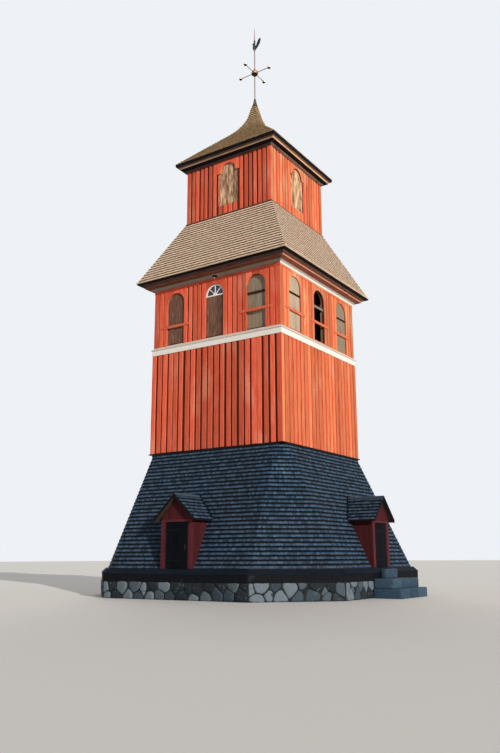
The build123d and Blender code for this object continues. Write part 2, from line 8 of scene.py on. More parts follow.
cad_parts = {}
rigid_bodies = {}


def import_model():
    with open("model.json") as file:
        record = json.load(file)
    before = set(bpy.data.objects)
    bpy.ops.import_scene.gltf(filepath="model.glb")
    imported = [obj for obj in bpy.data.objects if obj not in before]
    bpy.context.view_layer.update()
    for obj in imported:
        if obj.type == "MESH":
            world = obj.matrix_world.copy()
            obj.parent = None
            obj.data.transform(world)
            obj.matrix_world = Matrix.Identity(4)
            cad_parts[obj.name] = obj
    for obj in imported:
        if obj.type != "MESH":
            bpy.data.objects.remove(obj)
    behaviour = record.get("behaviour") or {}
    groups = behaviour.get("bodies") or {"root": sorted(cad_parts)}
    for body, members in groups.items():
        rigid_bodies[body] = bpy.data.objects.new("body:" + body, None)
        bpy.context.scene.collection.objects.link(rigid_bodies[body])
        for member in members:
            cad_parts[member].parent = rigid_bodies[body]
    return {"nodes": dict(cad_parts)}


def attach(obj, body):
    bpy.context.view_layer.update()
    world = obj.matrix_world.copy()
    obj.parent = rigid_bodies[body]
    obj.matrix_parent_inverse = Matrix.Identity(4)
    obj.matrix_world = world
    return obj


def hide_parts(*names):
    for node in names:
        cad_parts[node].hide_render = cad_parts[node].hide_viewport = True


leftovers = list(bpy.data.objects)
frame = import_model()
for thing in leftovers:
    bpy.data.objects.remove(thing)
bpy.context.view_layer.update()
rng = np.random.default_rng(1734)

# Sizes in metres, as in the CAD model, and where boards on it end. "half" is a distance from the
# axis to a side, and a field is the part of a wall between its corner boards.
SIDES = (0, 90, 180, 270)
FRONT, RIGHT, BACK, LEFT = SIDES
PLINTH_HALF, PLINTH_TOP, SILL_HALF = 6.65, 0.73, 6.68
SOLE_LEVEL, SOLE_TIP, SOLE_LEDGE, FLOOR_LEVEL = 1.04, 6.70, 6.50, 1.24
SKIRT_FOOT, SKIRT_HEAD, SKIRT_TOP = 6.36, 3.812, 6.59
SKIRT_LEAN = (SKIRT_FOOT - SKIRT_HEAD) / (SKIRT_TOP - FLOOR_LEVEL)
FOOT_CORNER, HEAD_CORNER, TANGENT = 0.7606, 1.3668, math.sqrt(2) - 1
DOOR_MIDDLES = {FRONT: 0.15, RIGHT: 0.08}
PORCH_HALF, DOOR_FACE, LINTEL, FRAME_HALF = 0.82, 6.50, 3.18, 0.84
LEAF_HALF, LEAF_FOOT, LEAF_HEAD, CHEEK_BACK, CHEEK_HEAD = 0.565, 1.262, 3.168, 5.33, 3.44
PORCH_RIDGE, PORCH_EAVES_HALF, PORCH_SLOPE, PORCH_FRONT, PORCH_DROP = 4.345, 1.055, 0.9716, 6.72, 0.084
LOWER_HALF, LOWER_FIELD, LOWER_FOOT, LOWER_TOP = 3.762, 3.56, 6.65, 11.61
BELFRY_HALF, BELFRY_FIELD, BELFRY_FOOT, BELFRY_HEAD, BELFRY_TOP = 3.722, 3.50, 12.03, 14.91, 15.46
WINDOWS, WINDOW_HALF, WINDOW_SILL, WINDOW_SPRINGING = (-2.4, 0.0, 2.4), 0.54, 12.10, 14.20
JAMB_HALF, SHUTTER_HALF, TRANSOM_HALF, TRANSOM_FOOT, TRANSOM_HEAD = 0.74, 0.535, 0.538, 13.81, 13.93
MID_FOOT, MID_HEAD, MID_TOP = 4.42, 2.66, 18.93
LANTERN_HALF, LANTERN_FOOT, LANTERN_SILL, LANTERN_SPRINGING = 2.615, 18.94, 19.4695, 21.3095
LANTERN_FIELD, LANTERN_TRIM, LANTERN_ARCH, LANTERN_SHUTTER = 2.43, 0.66, 0.50, 0.495
LANTERN_EAVES, LANTERN_TOP = 21.96, 22.3695
CAP_LEVEL, CAP_TOP, CROSS_LEVEL, VANE_LEVEL = 26.5495, 26.9595, 28.6895, 30.1995
SUNK = 0.005  # how far boards reach into what they are nailed to
GAP = 0.004  # half the joint between two planks
SLIVER = 0.012  # shingles cut narrower than this are left out
COVER = 0.030  # how far cover boards stand proud
RAGGED = 0.003  # how far that differs from board to board


# Shapes: every piece is a section carried along stations, worked out as whole arrays

def turned(points, angle):
    """Points (across, out, up) of the side at this angle: x = a cos t + o sin t, y = a sin t - o cos t."""
    t = math.radians(angle)
    across, out, up = np.moveaxis(np.asarray(points, float), -1, 0)
    return np.stack((across * math.cos(t) + out * math.sin(t),
                     across * math.sin(t) - out * math.cos(t), up), -1)


def carried(rings, local=None, looped=False, tone=None):
    """Closed shapes from rings[shape, station, section point]: neighbouring sections are joined by
    quads and the end sections are filled with ladders of quads, unless the path loops. Local gives
    each point's place in its own board as (across, through, along the grain)."""
    rings = np.asarray(rings, float)
    shapes, stations, k, _ = rings.shape
    index = np.arange(shapes * stations * k).reshape(shapes, stations, k)
    here = index if looped else index[:, :-1]
    there = np.roll(index, -1, 1) if looped else index[:, 1:]
    faces = [np.stack((here, there, np.roll(there, -1, 2), np.roll(here, -1, 2)), -1).reshape(-1, 4)]
    if not looped:
        i = np.arange(k // 2 - 1)
        ladder = np.stack((i, i + 1, k - 2 - i, k - 1 - i), -1)
        faces.append(index[:, 0][:, ladder].reshape(-1, 4))
        faces.append(index[:, -1][:, ladder[:, ::-1]].reshape(-1, 4))
    faces = np.concatenate(faces)
    points = rings.reshape(-1, 3)
    a, b, c, d = np.moveaxis((points - points.mean(0))[faces], 1, 0)
    volume = np.sum(a * (np.cross(b, c) + np.cross(c, d)))
    if volume < 0:
        faces = faces[:, ::-1]
    local = rings if local is None else np.broadcast_to(local, rings.shape)
    shift = rng.uniform(-30, 30, (shapes, 1, 1, 3))
    if tone is None:
        tone = rng.uniform(-1, 1, shapes)
    low = local[..., 2].min((1, 2), keepdims=True)
    length = np.maximum(local[..., 2].max((1, 2), keepdims=True) - low, 1e-6)
    return {"points": points, "faces": faces, "grain": (local + shift).reshape(-1, 3),
            "tone": np.repeat(tone, stations * k), "height": ((local[..., 2] - low) / length).ravel()}


def piece(name, parts, finish, body="tower", smooth=False):
    """One object from closed parts, with the attributes grain, tone and height on its points."""
    mesh = bpy.data.meshes.new(name)
    counts = np.cumsum([0] + [len(p["points"]) for p in parts])
    faces = np.concatenate([p["faces"] + n for p, n in zip(parts, counts)])
    mesh.vertices.add(counts[-1])
    mesh.vertices.foreach_set("co", np.concatenate([p["points"] for p in parts]).astype(np.float32).ravel())
    mesh.loops.add(faces.size)
    mesh.loops.foreach_set("vertex_index", faces.astype(np.int32).ravel())
    mesh.polygons.add(len(faces))
    mesh.polygons.foreach_set("loop_start", np.arange(0, faces.size, 4, dtype=np.int32))
    mesh.update(calc_edges=True)
    for key, kind, field in (("grain", "FLOAT_VECTOR", "vector"), ("tone", "FLOAT", "value"),
                             ("height", "FLOAT", "value")):
        values = np.concatenate([p[key] for p in parts]).astype(np.float32).ravel()
        mesh.attributes.new(key, kind, "POINT").data.foreach_set(field, values)
    mesh.polygons.foreach_set("use_smooth", np.full(len(faces), smooth))
    mesh.validate()
    made = bpy.data.objects.new(name, mesh)
    bpy.context.scene.collection.objects.link(made)
    made.data.materials.append(finish)
    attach(made, body)
    return made


def slabs(x, low, high, near, far):
    """Boards in a side's own axes: row i has stations at x[i], where its section is the rectangle
    from near to far and from low to high."""
    x, low, high, near, far = np.broadcast_arrays(*(np.asarray(v, float) for v in (x, low, high, near, far)))
    corners = ((near, low), (far, low), (far, high), (near, high))
    return np.stack([np.stack((x, out, up), -1) for out, up in corners], 2)


def upright(x, low, high, near, far, sides=SIDES):
    """Slabs repeated on these sides, with the grain running up."""
    rings = slabs(x, low, high, near, far)
    return [carried(turned(rings, side), rings) for side in sides]


def level_boards(x, low, high, near, far, sides=SIDES):
    """Slabs repeated on these sides, with the grain running across."""
    rings = slabs(x, low, high, near, far)
    return [carried(turned(rings, side), rings[..., [1, 2, 0]]) for side in sides]


def uneven(value, amount, rows):
    """A column of values that differ by up to this amount, one for each board."""
    return value + rng.uniform(-amount, amount, (rows, 1))


def nailed(x, low, high, wall, proud, ragged=0.0, sides=SIDES):
    """Upright boards on a wall at this distance from the axis, standing proud of it."""
    far = uneven(wall + proud, ragged, len(x)) if ragged else wall + proud
    return upright(x, low, high, wall - SUNK, far, sides)


def corner_boards(wall, inner, proud, low, high, sides=SIDES):
    """Boards at both corners of a wall, one of which laps the next wall's."""
    x = np.array([[-wall, -inner], [inner, wall + proud]])
    return nailed(x, low, high, wall, proud, sides=sides)


def cover_boards(start, end, count, width, ragged=0.004):
    """Left and right edges of evenly spaced boards: gap = (run - count * width) / (count + 1)."""
    gap = (end - start - count * width) / (count + 1)
    left = start + gap + (width + gap) * np.arange(count) + rng.uniform(-ragged, ragged, count)
    return np.stack((left, left + width + rng.uniform(-ragged, ragged, count)), -1)


def planked(edges, gap=GAP, stations=2):
    """Stations across the planks between these edges, less half a joint at each."""
    edges = np.asarray(edges)
    return np.linspace(edges[:-1] + gap, edges[1:] - gap, stations, axis=-1)


def arch(springing, radius, x):
    """Height of a round arch: springing + sqrt(R^2 - x^2), and its springing beyond it."""
    return springing + np.sqrt(np.maximum(radius ** 2 - x ** 2, 0))


def octagon(radius, corner, facet):
    """Distance from the axis and half length at radius r: r and r (sqrt 2 - 1) + c sqrt 2 on the
    octagon's long side, r + c and r (sqrt 2 - 1) - c on its corner facet, which stands c further out."""
    if facet:
        return radius + corner, radius * TANGENT - corner
    return radius, radius * TANGENT + corner * math.sqrt(2)


def mitred(profile, corner=None, sides=SIDES):
    """Mouldings round the square, or the octagon if its corner is given: on each side every section
    point runs from mitre to mitre, which on the square is its own radius each way."""
    radius, level = np.array(profile, float).T
    shapes = [(side, radius, radius) for side in sides]
    if corner is not None:
        shapes = [(side + 45 * facet, *octagon(radius, corner, facet)) for facet in (0, 1) for side in SIDES]
    parts = []
    for side, out, half in shapes:
        local = np.stack([np.stack((end * half, out, level), -1) for end in (-1, 1)])[None]
        parts.append(carried(turned(local, side), local[..., [1, 2, 0]]))
    return parts


def moulding(name, finish, slot, *profiles, **shape):
    """One piece from mitred sections, each a list of (radius, level) points."""
    return piece(name, [part for profile in profiles for part in mitred(profile, **shape)], finish)


def circle(points, start=0.0):
    """Points evenly round the unit circle."""
    turn = np.linspace(0, 2 * math.pi, points, endpoint=False) + start
    return np.stack((np.cos(turn), np.sin(turn)), -1)


def lathe(profile, points=24, centre=(0, 0), tone=0.0):
    """Round pieces: each (radius, level) is a station, with its section points on a circle."""
    radius, level = np.array(profile, float).T[..., None]
    x, y = circle(points).T
    rings = np.stack((centre[0] + radius * x, centre[1] + radius * y, level + 0 * x), -1)[None]
    return carried(rings, tone=np.array([tone]))


def tube(path, radius, points=8):
    """A rod along a path: a circle in the plane square to the path at each station."""
    path = np.array(path, float)
    ahead = np.gradient(path, axis=0)
    ahead /= np.linalg.norm(ahead, axis=1, keepdims=True)
    least = np.eye(3)[np.argmin(np.abs(ahead).sum(0))]
    side = np.cross(ahead, least)
    side /= np.linalg.norm(side, axis=1, keepdims=True)
    x, y = circle(points).T[..., None]
    return path[:, None] + radius * (x * side[:, None] + y * np.cross(ahead, side)[:, None])


# Shingles

def follow(profile, up):
    """Point and outward normal this many courses up a profile of (radius, level) nodes, straight
    between the nodes and past its ends."""
    i = np.clip(np.floor(up).astype(int), 0, len(profile) - 2)
    step = profile[i + 1] - profile[i]
    normal = np.stack((step[..., 1], -step[..., 0]), -1) / np.linalg.norm(step, axis=-1, keepdims=True)
    return profile[i] + step * (up - i)[..., None], normal


def shingle_field(courses, half, width, butt):
    """Wedges in courses, as points (across, off the slope, courses up): random widths add up along
    each course, the butt is thick and ragged and the head thin, under the next course."""
    columns = int(2.5 * half / width) + 4
    widths = width * rng.uniform(0.6, 1.4, (courses, columns))
    right = np.cumsum(widths, 1) - half - rng.uniform(1, 3, (courses, 1)) * width
    left = right - widths + SUNK
    foot = np.arange(courses)[:, None] + rng.uniform(-0.03, 0.03, (courses, columns))
    lift = rng.uniform(0, 0.15 * butt, (courses, columns))
    zero = np.zeros_like(left)
    off = [(zero + 0.25 * butt, 1.25 * butt + lift), (zero, zero + 0.2 * butt)]
    stations = []
    for up, (inner, outer) in zip((foot, foot + 1.12), off):
        corners = ((left, inner), (right, inner), (right, outer), (left, outer))
        stations.append(np.stack([np.stack((x, h, up), -1) for x, h in corners], 2))
    return np.stack(stations, 2).reshape(-1, 2, 4, 3)


def on_slope(field, turn, profile, edge=None, keep=None):
    """Puts shingles on the slope that faces this way: up goes along the profile, off along its
    normal, and across stops at the hips, on the square as far out as the slope is. Edge gives
    another half length, and keep says which shingles stay."""
    course = float(np.linalg.norm(profile[1] - profile[0]))
    point, normal = follow(profile, field[..., 2])
    radius = point[..., 0] + field[..., 1] * normal[..., 0]
    level = point[..., 1] + field[..., 1] * normal[..., 1]
    limit = edge(radius, level, field[..., 1]) if edge else radius
    across = np.clip(field[..., 0], -limit, limit)
    inside = across[:, 0, 1] - across[:, 0, 0] > SLIVER
    if keep:
        inside &= keep(across, level)
    rings = turned(np.stack((across, radius, level), -1), turn)
    return carried(rings[inside], (field * (1, 1, course))[inside])


def even_profile(nodes, spacing):
    """Nodes a course apart along a line of (radius, level) points."""
    nodes = np.array(nodes, float)
    along = np.concatenate(([0], np.cumsum(np.linalg.norm(np.diff(nodes, axis=0), axis=1))))
    at = np.linspace(0, along[-1], max(2, round(along[-1] / spacing) + 1))
    return np.stack([np.interp(at, along, nodes[:, i]) for i in (0, 1)], -1)


def square_roof(profile, half, width, butt):
    """Shingles on the four slopes of a square roof, whose first course hangs over the eaves."""
    parts = []
    for side in SIDES:
        field = shingle_field(len(profile) - 1, half, width, butt)
        field[..., 2] -= 0.2
        parts.append(on_slope(field, side, profile))
    return parts


# Finishes

def linear(code):
    """sRGB hex to linear: c / 12.92 up to 0.04045, ((c + 0.055) / 1.055) ^ 2.4 above."""
    c = np.array([int(code[i:i + 2], 16) for i in (1, 3, 5)]) / 255
    return (*np.where(c <= 0.04045, c / 12.92, ((c + 0.055) / 1.055) ** 2.4).tolist(), 1.0)


def add(tree, kind, sockets=(), **settings):
    """One shader node with its settings, and its inputs given as values or as other nodes' outputs."""
    made = tree.nodes.new("ShaderNode" + kind)
    for name, value in settings.items():
        setattr(made, name, value)
    for socket, value in dict(sockets).items():
        if isinstance(value, bpy.types.NodeSocket):
            tree.links.new(value, made.inputs[socket])
        else:
            made.inputs[socket].default_value = value
    return made


def new_finish(name, roughness, **values):
    """A material's node tree, its Principled shader, whose named values are set, and object space."""
    material = bpy.data.materials.new(name)
    material.use_nodes = True
    tree = material.node_tree
    shader = tree.nodes["Principled BSDF"]
    for socket, value in {"Roughness": roughness, **values}.items():
        shader.inputs[socket.replace("_", " ")].default_value = value
    return material, tree, shader, add(tree, "TexCoord").outputs["Object"]


def coated(material, colour, height, strength, distance):
    """The material, with this colour and a bump of this height on its shader."""
    tree = material.node_tree
    inputs = tree.nodes["Principled BSDF"].inputs
    tree.links.new(colour, inputs["Base Color"])
    bump = add(tree, "Bump", {"Strength": strength, "Distance": distance, "Height": height})
    tree.links.new(bump.outputs[0], inputs["Normal"])
    return material


def told(tree, name, output="Fac"):
    """Output of one of the attributes that piece writes."""
    return add(tree, "Attribute", attribute_name=name).outputs[output]


def maths(tree, operation, *values):
    """Output of a sum on values or outputs."""
    return add(tree, "Math", dict(enumerate(values)), operation=operation).outputs[0]


def mixed(tree, factor, first, second, blend="MIX"):
    """Output of a colour mix of two colours or outputs."""
    return add(tree, "Mix", {0: factor, 6: first, 7: second}, data_type="RGBA", blend_type=blend).outputs[2]


def ranged(tree, value, low, high, to_low=0.0, to_high=1.0):
    """Output of a clamped remap of a value from low..high to to_low..to_high."""
    sockets = {0: value, 1: low, 2: high, 3: to_low, 4: to_high}
    return add(tree, "MapRange", sockets, interpolation_type="SMOOTHSTEP").outputs[0]


def speckle(tree, where, size, detail=3.0):
    """Output of noise whose cells measure size millimetres along each axis."""
    scaled = add(tree, "Mapping", {0: where, 3: [1000 / s for s in size]})
    return add(tree, "TexNoise", {0: scaled.outputs[0], 2: 1.0, 3: detail}).outputs[0]


def wood(name, colours, roughness, streak=(25, 25, 600), patch=(500, 500, 500), vary=0.12, plain=False,
         stain_from=0.52, head=0.0, shade=(0.32, 0.70), relief=0.3, gloss=0.15, moss=None, painted_sun_gain=None,
         inside=None):
    """Wood that weathers along its grain: dark and light fibres in streaks, stains in patches, one
    tone for each board, from a pale foot to a dark head that is partly damp and partly painted shade,
    bare inside a given radius, and multiplied by these factors where it faces +x, as painted sunlight
    on that side. Dry open fibres have little gloss.
    Streaks and patches are in millimetres. A plain wood has no boards with a grain of their own."""
    material, tree, _, place = new_finish(name, roughness, Specular_IOR_Level=gloss)
    dark, light, stain = (linear(code) for code in colours.split())
    fibre = speckle(tree, place if plain else told(tree, "grain", "Vector"), streak)
    colour = mixed(tree, ranged(tree, fibre, 0.34, 0.66), dark, light)
    cloud = speckle(tree, place, patch, 4.0)
    colour = mixed(tree, ranged(tree, cloud, stain_from, stain_from + 0.22, 0.0, 0.85), colour, stain)
    if moss:
        tuft = speckle(tree, place, (90, 90, 90), 5.0)
        colour = mixed(tree, ranged(tree, tuft, 0.56, 0.76, 0.0, 0.8), colour, linear(moss))
    level = ranged(tree, told(tree, "tone"), -1.0, 1.0, 1.0 - vary, 1.0 + vary)
    # Darker towards each head, under the next course's butt: partly damp and dirt, partly painted shade
    if head:
        damp_and_painted_shade = ranged(tree, told(tree, "height"), *shade, 1.0 + 0.1 * head, 1.0 - head)
        level = maths(tree, "MULTIPLY", level, damp_and_painted_shade)
    colour = add(tree, "HueSaturation", {"Value": level, "Color": colour}).outputs[0]
    # Painted sunlight: the colour is multiplied by the given factors on faces turned towards +x
    if painted_sun_gain:
        facing = add(tree, "SeparateXYZ", {0: add(tree, "NewGeometry").outputs["Normal"]}).outputs[0]
        painted_sunlit = mixed(tree, 1.0, colour, (*painted_sun_gain, 1.0), "MULTIPLY")
        colour = mixed(tree, ranged(tree, facing, 0.2, 0.45), colour, painted_sunlit)
    if inside:
        axes = add(tree, "SeparateXYZ", {0: place}).outputs
        reach = maths(tree, "MAXIMUM", *(maths(tree, "ABSOLUTE", axes[i]) for i in (0, 1)))
        bare = mixed(tree, ranged(tree, fibre, 0.3, 0.7), linear("#6f5a45"), linear("#8d7558"))
        colour = mixed(tree, maths(tree, "GREATER_THAN", reach, inside), bare, colour)
    return coated(material, colour, fibre, relief, 0.004)


# Sawn pine boards in red earth distemper: chalky and matt, paler where rain has washed them, and lit
# up further as painted sunlight where they face +x
red_boards = wood("red_distemper_on_sawn_pine", "#d7543c #ea6c51 #ee8770", 0.92, (35, 35, 900),
                  (900, 900, 2600), vary=0.24, painted_sun_gain=(1.0, 1.82, 1.5))
# The same distemper on the boards behind, darkened as painted shade in the recesses between the cover
# boards, and lit back up as painted sunlight where they face +x
red_walls, red_lantern = (
    wood("red_distemper_painted_recess_shade" + where, "#4d1b13 #64261a #431710", 0.94, (40, 40, 900),
         (700, 700, 2400), plain=True, inside=face, painted_sun_gain=(6.5, 8.5, 8.0))
    for where, face in (("", 3.63), ("_lantern", 2.54)))
# Window rails in fresh distemper, as bright as the boards, lit up as painted sunlight where they face +x
red_rails = wood("red_distemper_on_rails", "#d05a3d #e27152 #e88662", 0.92, (35, 35, 35), (700, 700, 300),
                 plain=True, painted_sun_gain=(1.05, 1.35, 1.35))
# Door houses in the same red, set much darker all over as painted shade of the trees over them, with
# slightly fresher frames
red_porch = wood("red_distemper_on_planed_boards", "#3a1519 #471a1f #321115", 0.9, (30, 30, 700),
                 (500, 500, 900), plain=True)
red_porch_boards = wood("red_distemper_on_door_house_boards", "#40181c #4e1e23 #371418", 0.9, (30, 30, 700),
                        (500, 500, 900), vary=0.08)
red_frames = wood("red_distemper_on_door_frames", "#502228 #5f2b32 #451c21", 0.9, (30, 30, 700),
                  (500, 500, 900), vary=0.06)
# Pine under several coats of wood tar: brown-black, a little glossy, grey where it has worn
tarred = wood("tarred_pine", "#0e0f13 #1a1b20 #2b2c30", 0.7, (25, 25, 500), (400, 400, 400), plain=True,
              stain_from=0.6, gloss=0.06)
tarred_boards = wood("tarred_pine_boards", "#0e0f13 #1a1b20 #2c2d31", 0.7, stain_from=0.6, gloss=0.06)
# Tarred sole boards, set to a dark dull slate as painted shade of the trees over them
sole_tar = wood("weathered_tar_on_sole_boards", "#10151d #19212d #212a37", 0.75, stain_from=0.6, gloss=0.06)
# Tarred door planks: set blue-black, darker than the other tar, as painted shade of the trees, with a
# low gloss
door_tar = wood("tarred_door_planks", "#07090d #0d1016 #14171d", 0.7, stain_from=0.6, gloss=0.05)
# Split pine shingles on the skirt: tarred long ago and weathered, set dark slate blue as painted shade
# of the trees, and darker towards each head under the next butt, partly damp and partly painted shade
skirt_wood = wood("weathered_tarred_shingles", "#26374a #475e76 #576c80", 0.85, (14, 14, 160),
                  (900, 900, 600), vary=0.4, stain_from=0.6, head=0.97, shade=(0.30, 0.62), relief=0.5)
# Ridge boards of the door houses, weathered, and as dark and blue as the shingles beside them, in the
# same painted shade of the trees
grey_ridge = wood("weathered_ridge_boards", "#343e4b #4b5866 #3f4853", 0.85, stain_from=0.6)
# Shingles of the middle roof: silvered brown pine, dry and matt, darker towards each head under the
# next butt, partly damp and partly painted shade
roof_wood = wood("silvered_pine_shingles", "#d9bca3 #f3dac1 #e1c4ac", 0.9, (14, 14, 160), (1200, 1200, 700),
                 vary=0.08, head=0.97, shade=(0.42, 0.68), relief=0.5)
# Shingles of the top roof: silvered pine with a little ochre-green moss and lichen, darker towards
# each head under the next butt, partly damp and partly painted shade
mossy_wood = wood("mossy_pine_shingles", "#a58a69 #d6b48c #b29467", 0.93, (14, 14, 160), (700, 700, 260),
                  vary=0.22, head=0.85, relief=0.5, moss="#8d7d4c")
# Rough boarding under the shingles, seen only at its edges
underboards = wood("rough_underboarding", "#3a3129 #4d4236 #2e2822", 0.9, (30, 30, 30), plain=True)
# Sawn pine floors and the bare side of walls, dry and brown
floor_wood = wood("sawn_pine_floor", "#6f5a45 #8d7558 #5d4b3a", 0.85, (30, 600, 30), (700, 700, 700),
                  plain=True)
# Unpainted shutter planks, weathered brown with dark fibres
brown_planks = wood("weathered_shutter_planks", "#563d33 #83604f #967463", 0.88, (18, 18, 500),
                    (160, 160, 600), vary=0.2)
# Lantern shutters, more exposed: sun-bleached planks with dark seams, lit up further as painted
# sunlight where they face +x
bleached_planks = wood("bleached_lantern_planks", "#6d5040 #e2b993 #4d382c", 0.88, (60, 60, 600),
                       (110, 110, 420), vary=0.36, painted_sun_gain=(1.3, 1.3, 1.25))
# Boards of the shutters behind those planks
shutter_wood = wood("weathered_shutter_backs", "#4d3a30 #6a5040 #3c2e27", 0.9, (20, 20, 400),
                    (300, 300, 500), plain=True)
# Linseed oil paint in a greyed green-beige: smooth, thin, with the planks showing through
grey_paint = wood("grey_green_oil_paint", "#a3937c #b7a78f #93846f", 0.7, (30, 30, 700), (400, 400, 900),
                  vary=0.3)
grey_paint_plain = wood("grey_green_oil_paint_plain", "#978a76 #a79985 #8a7e6c", 0.7, (30, 30, 700),
                        (400, 400, 900), plain=True)
# Dark brown stain on the transoms
dark_boards = wood("dark_brown_stained_rails", "#2b1c18 #3a2822 #231713", 0.8, (25, 25, 500), (300, 300, 300))
# Off-white paint on the drip boards over the cornice, dusty on its upper side
drip_paint = wood("dusty_off_white_paint", "#d6cec3 #e2dbd0 #c8bfb2", 0.7, (30, 30, 30), (400, 400, 400),
                  plain=True)
# White oil paint on the cornice, soffit and fanlight: satin, chalking a little
white_paint = wood("white_oil_paint", "#efeae3 #f6f2ec #e6dfd6", 0.6, (30, 30, 30), (500, 500, 300),
                   plain=True, stain_from=0.6)
# The same paint on the front and left, which face away from the sun, greyed as painted shade
white_paint_painted_shade = wood("white_oil_paint_painted_shade", "#8f8271 #a09180 #7c7061", 0.6, (30, 30, 30), (500, 500, 300),
                    plain=True, stain_from=0.6)
# Brown oil paint on the eaves boards, faded towards red; on the lapped boards it is lit up as painted
# sunlight where they face +x
brown_paint = wood("red_brown_oil_paint", "#6e4636 #85543f #5b3a2e", 0.75, (40, 40, 40), (600, 600, 300),
                   plain=True)
brown_boards = wood("red_brown_oil_paint_boards", "#64382b #7c4c3c #563026", 0.75, (25, 25, 700),
                    (600, 600, 300), vary=0.14, painted_sun_gain=(2.5, 2.9, 2.7))
# Orange-red board of the same eaves, newer paint, lit up as painted sunlight where it faces +x
orange_boards = wood("orange_red_oil_paint", "#8a5243 #9a6250 #7a4638", 0.75, (25, 25, 700),
                     (500, 500, 300), painted_sun_gain=(2.2, 2.4, 2.3))
# Grey-brown boards that have lost their paint, on the eaves and round the lantern's head, lit up as
# painted sunlight where they face +x
grey_boards = wood("grey_brown_bare_boards", "#4a3931 #604a40 #3a2d28", 0.85, (20, 20, 500),
                   (400, 400, 300), vary=0.14, painted_sun_gain=(2.6, 2.6, 2.6))
# Cream-brown moulding strip under the top roof, lit up as painted sunlight where it faces +x
cream_boards = wood("cream_oil_paint", "#b98f6f #dcb28c #a07a5d", 0.72, (25, 25, 700), (500, 500, 300),
                    painted_sun_gain=(1.25, 1.25, 1.25))
# Pale pine batten under the first course of shingles: its paleness is painted highlight of the
# sunlit edge of that course
pale_batten = wood("pine_batten_painted_highlight", "#c9ab88 #e6cba8 #b39474", 0.8, (25, 25, 500), (300, 300, 300))
# Dark grey painted edge board
grey_edge = wood("dark_grey_oil_paint", "#4c4340 #5d5350 #3a3432", 0.75, (40, 40, 40), (500, 500, 300),
                 plain=True)


def rock(name, colours, lichen, roughness, own=True):
    """Natural stone: each stone's own tone, or else a slow drift, picks between colours, crystals
    speckle it and lichen spots it."""
    material, tree, _, place = new_finish(name, roughness, Specular_IOR_Level=0.3)
    first, second, third = (linear(code) for code in colours.split())
    if own:
        pick = told(tree, "tone")
    else:
        pick = ranged(tree, speckle(tree, place, (300, 300, 300), 2.0), 0.35, 0.65, -1.0, 1.0)
    colour = mixed(tree, ranged(tree, pick, -0.8, -0.1), first, second)
    colour = mixed(tree, ranged(tree, pick, 0.0, 0.6), colour, third)
    crystals = speckle(tree, place, (22, 22, 22), 6.0)
    shade = ranged(tree, crystals, 0.3, 0.7, 0.72, 1.22)
    colour = add(tree, "HueSaturation", {"Value": shade, "Color": colour}).outputs[0]
    spots = speckle(tree, place, (140, 140, 140), 5.0)
    colour = mixed(tree, ranged(tree, spots, 0.58, 0.68, 0.0, 0.5), colour, linear(lichen))
    return coated(material, colour, crystals, 0.5, 0.01)


# Field boulders of granite and gneiss, frost-worn and lichened, set dark and blue-grey as painted
# shade of the trees over the base
fieldstone = rock("granite_fieldstone", "#1a242c #38454f #6d7a84", "#5a656d", 0.88)
# Hewn granite slabs, set dark and blue-grey as painted shade of the trees over them
step_stone = rock("hewn_granite", "#243645 #30475a #3c5466", "#5a6d7b", 0.82)
# Lime and earth between the boulders: dark joints, set near black and blue as painted shade of the trees
mortar = rock("earth_and_lime_joints", "#1d1f23 #282a2d #222427", "#3a3b37", 0.95, own=False)


def metal(name, colours, roughness, metallic, underside_shade=None):
    """Worked metal: hammer marks and oxide mottle both its colour and its gloss, and where an underside
    colour is given, its lower half takes it as painted shade."""
    material, tree, shader, place = new_finish(name, roughness, Metallic=metallic)
    mottle = speckle(tree, place, (60, 60, 60), 5.0)
    colour = mixed(tree, ranged(tree, mottle, 0.35, 0.65), *(linear(code) for code in colours.split()))
    if underside_shade:
        edge = maths(tree, "MULTIPLY_ADD", mottle, 0.3, told(tree, "height"))
        colour = mixed(tree, ranged(tree, edge, 0.40, 0.58), linear(underside_shade), colour)
    gloss = ranged(tree, mottle, 0.3, 0.7, roughness - 0.12, roughness + 0.12)
    tree.links.new(gloss, shader.inputs["Roughness"])
    return coated(material, colour, mottle, 0.3, 0.003)


# Forged iron under old black oil paint, browned where rust comes through
iron = metal("wrought_iron", "#1b1918 #2c2725", 0.6, 0.5)
# Galvanised rod and arms, dull with a pinkish bloom
rod_metal = metal("galvanised_iron", "#8f7d80 #a69599", 0.55, 0.4)
# Copper sheet on the great ball, browned, its lower half black as painted shade
copper = metal("copper_sheet", "#a8754f #c8936a", 0.42, 0.7, "#1d1512")
# Gilded small balls, pale nearly to white as painted highlight, their lower half black as painted shade
gilding = metal("gilded_copper", "#e4d2a4 #f4ecd6", 0.3, 0.8, "#26231c")
# Painted steel sheet of the cock, blue-black
vane_metal = metal("blue_black_sheet_steel", "#1f2b30 #33434a", 0.5, 0.5)
# Lead sheet on the cap, dulled brown
cap_metal = metal("dulled_lead_sheet", "#4a3b35 #6a5549", 0.5, 0.5)

# Window glass: thin, clear and old, dark because the room behind it is dark
glass, glass_tree, _, glass_place = new_finish("window_glass", 0.06, IOR=1.5, Transmission_Weight=0.35)
waves = speckle(glass_tree, glass_place, (120, 120, 120))
glass_colour = mixed(glass_tree, ranged(glass_tree, waves, 0.3, 0.7), linear("#1c2740"), linear("#2c3b5c"))
coated(glass, glass_colour, waves, 0.15, 0.002)

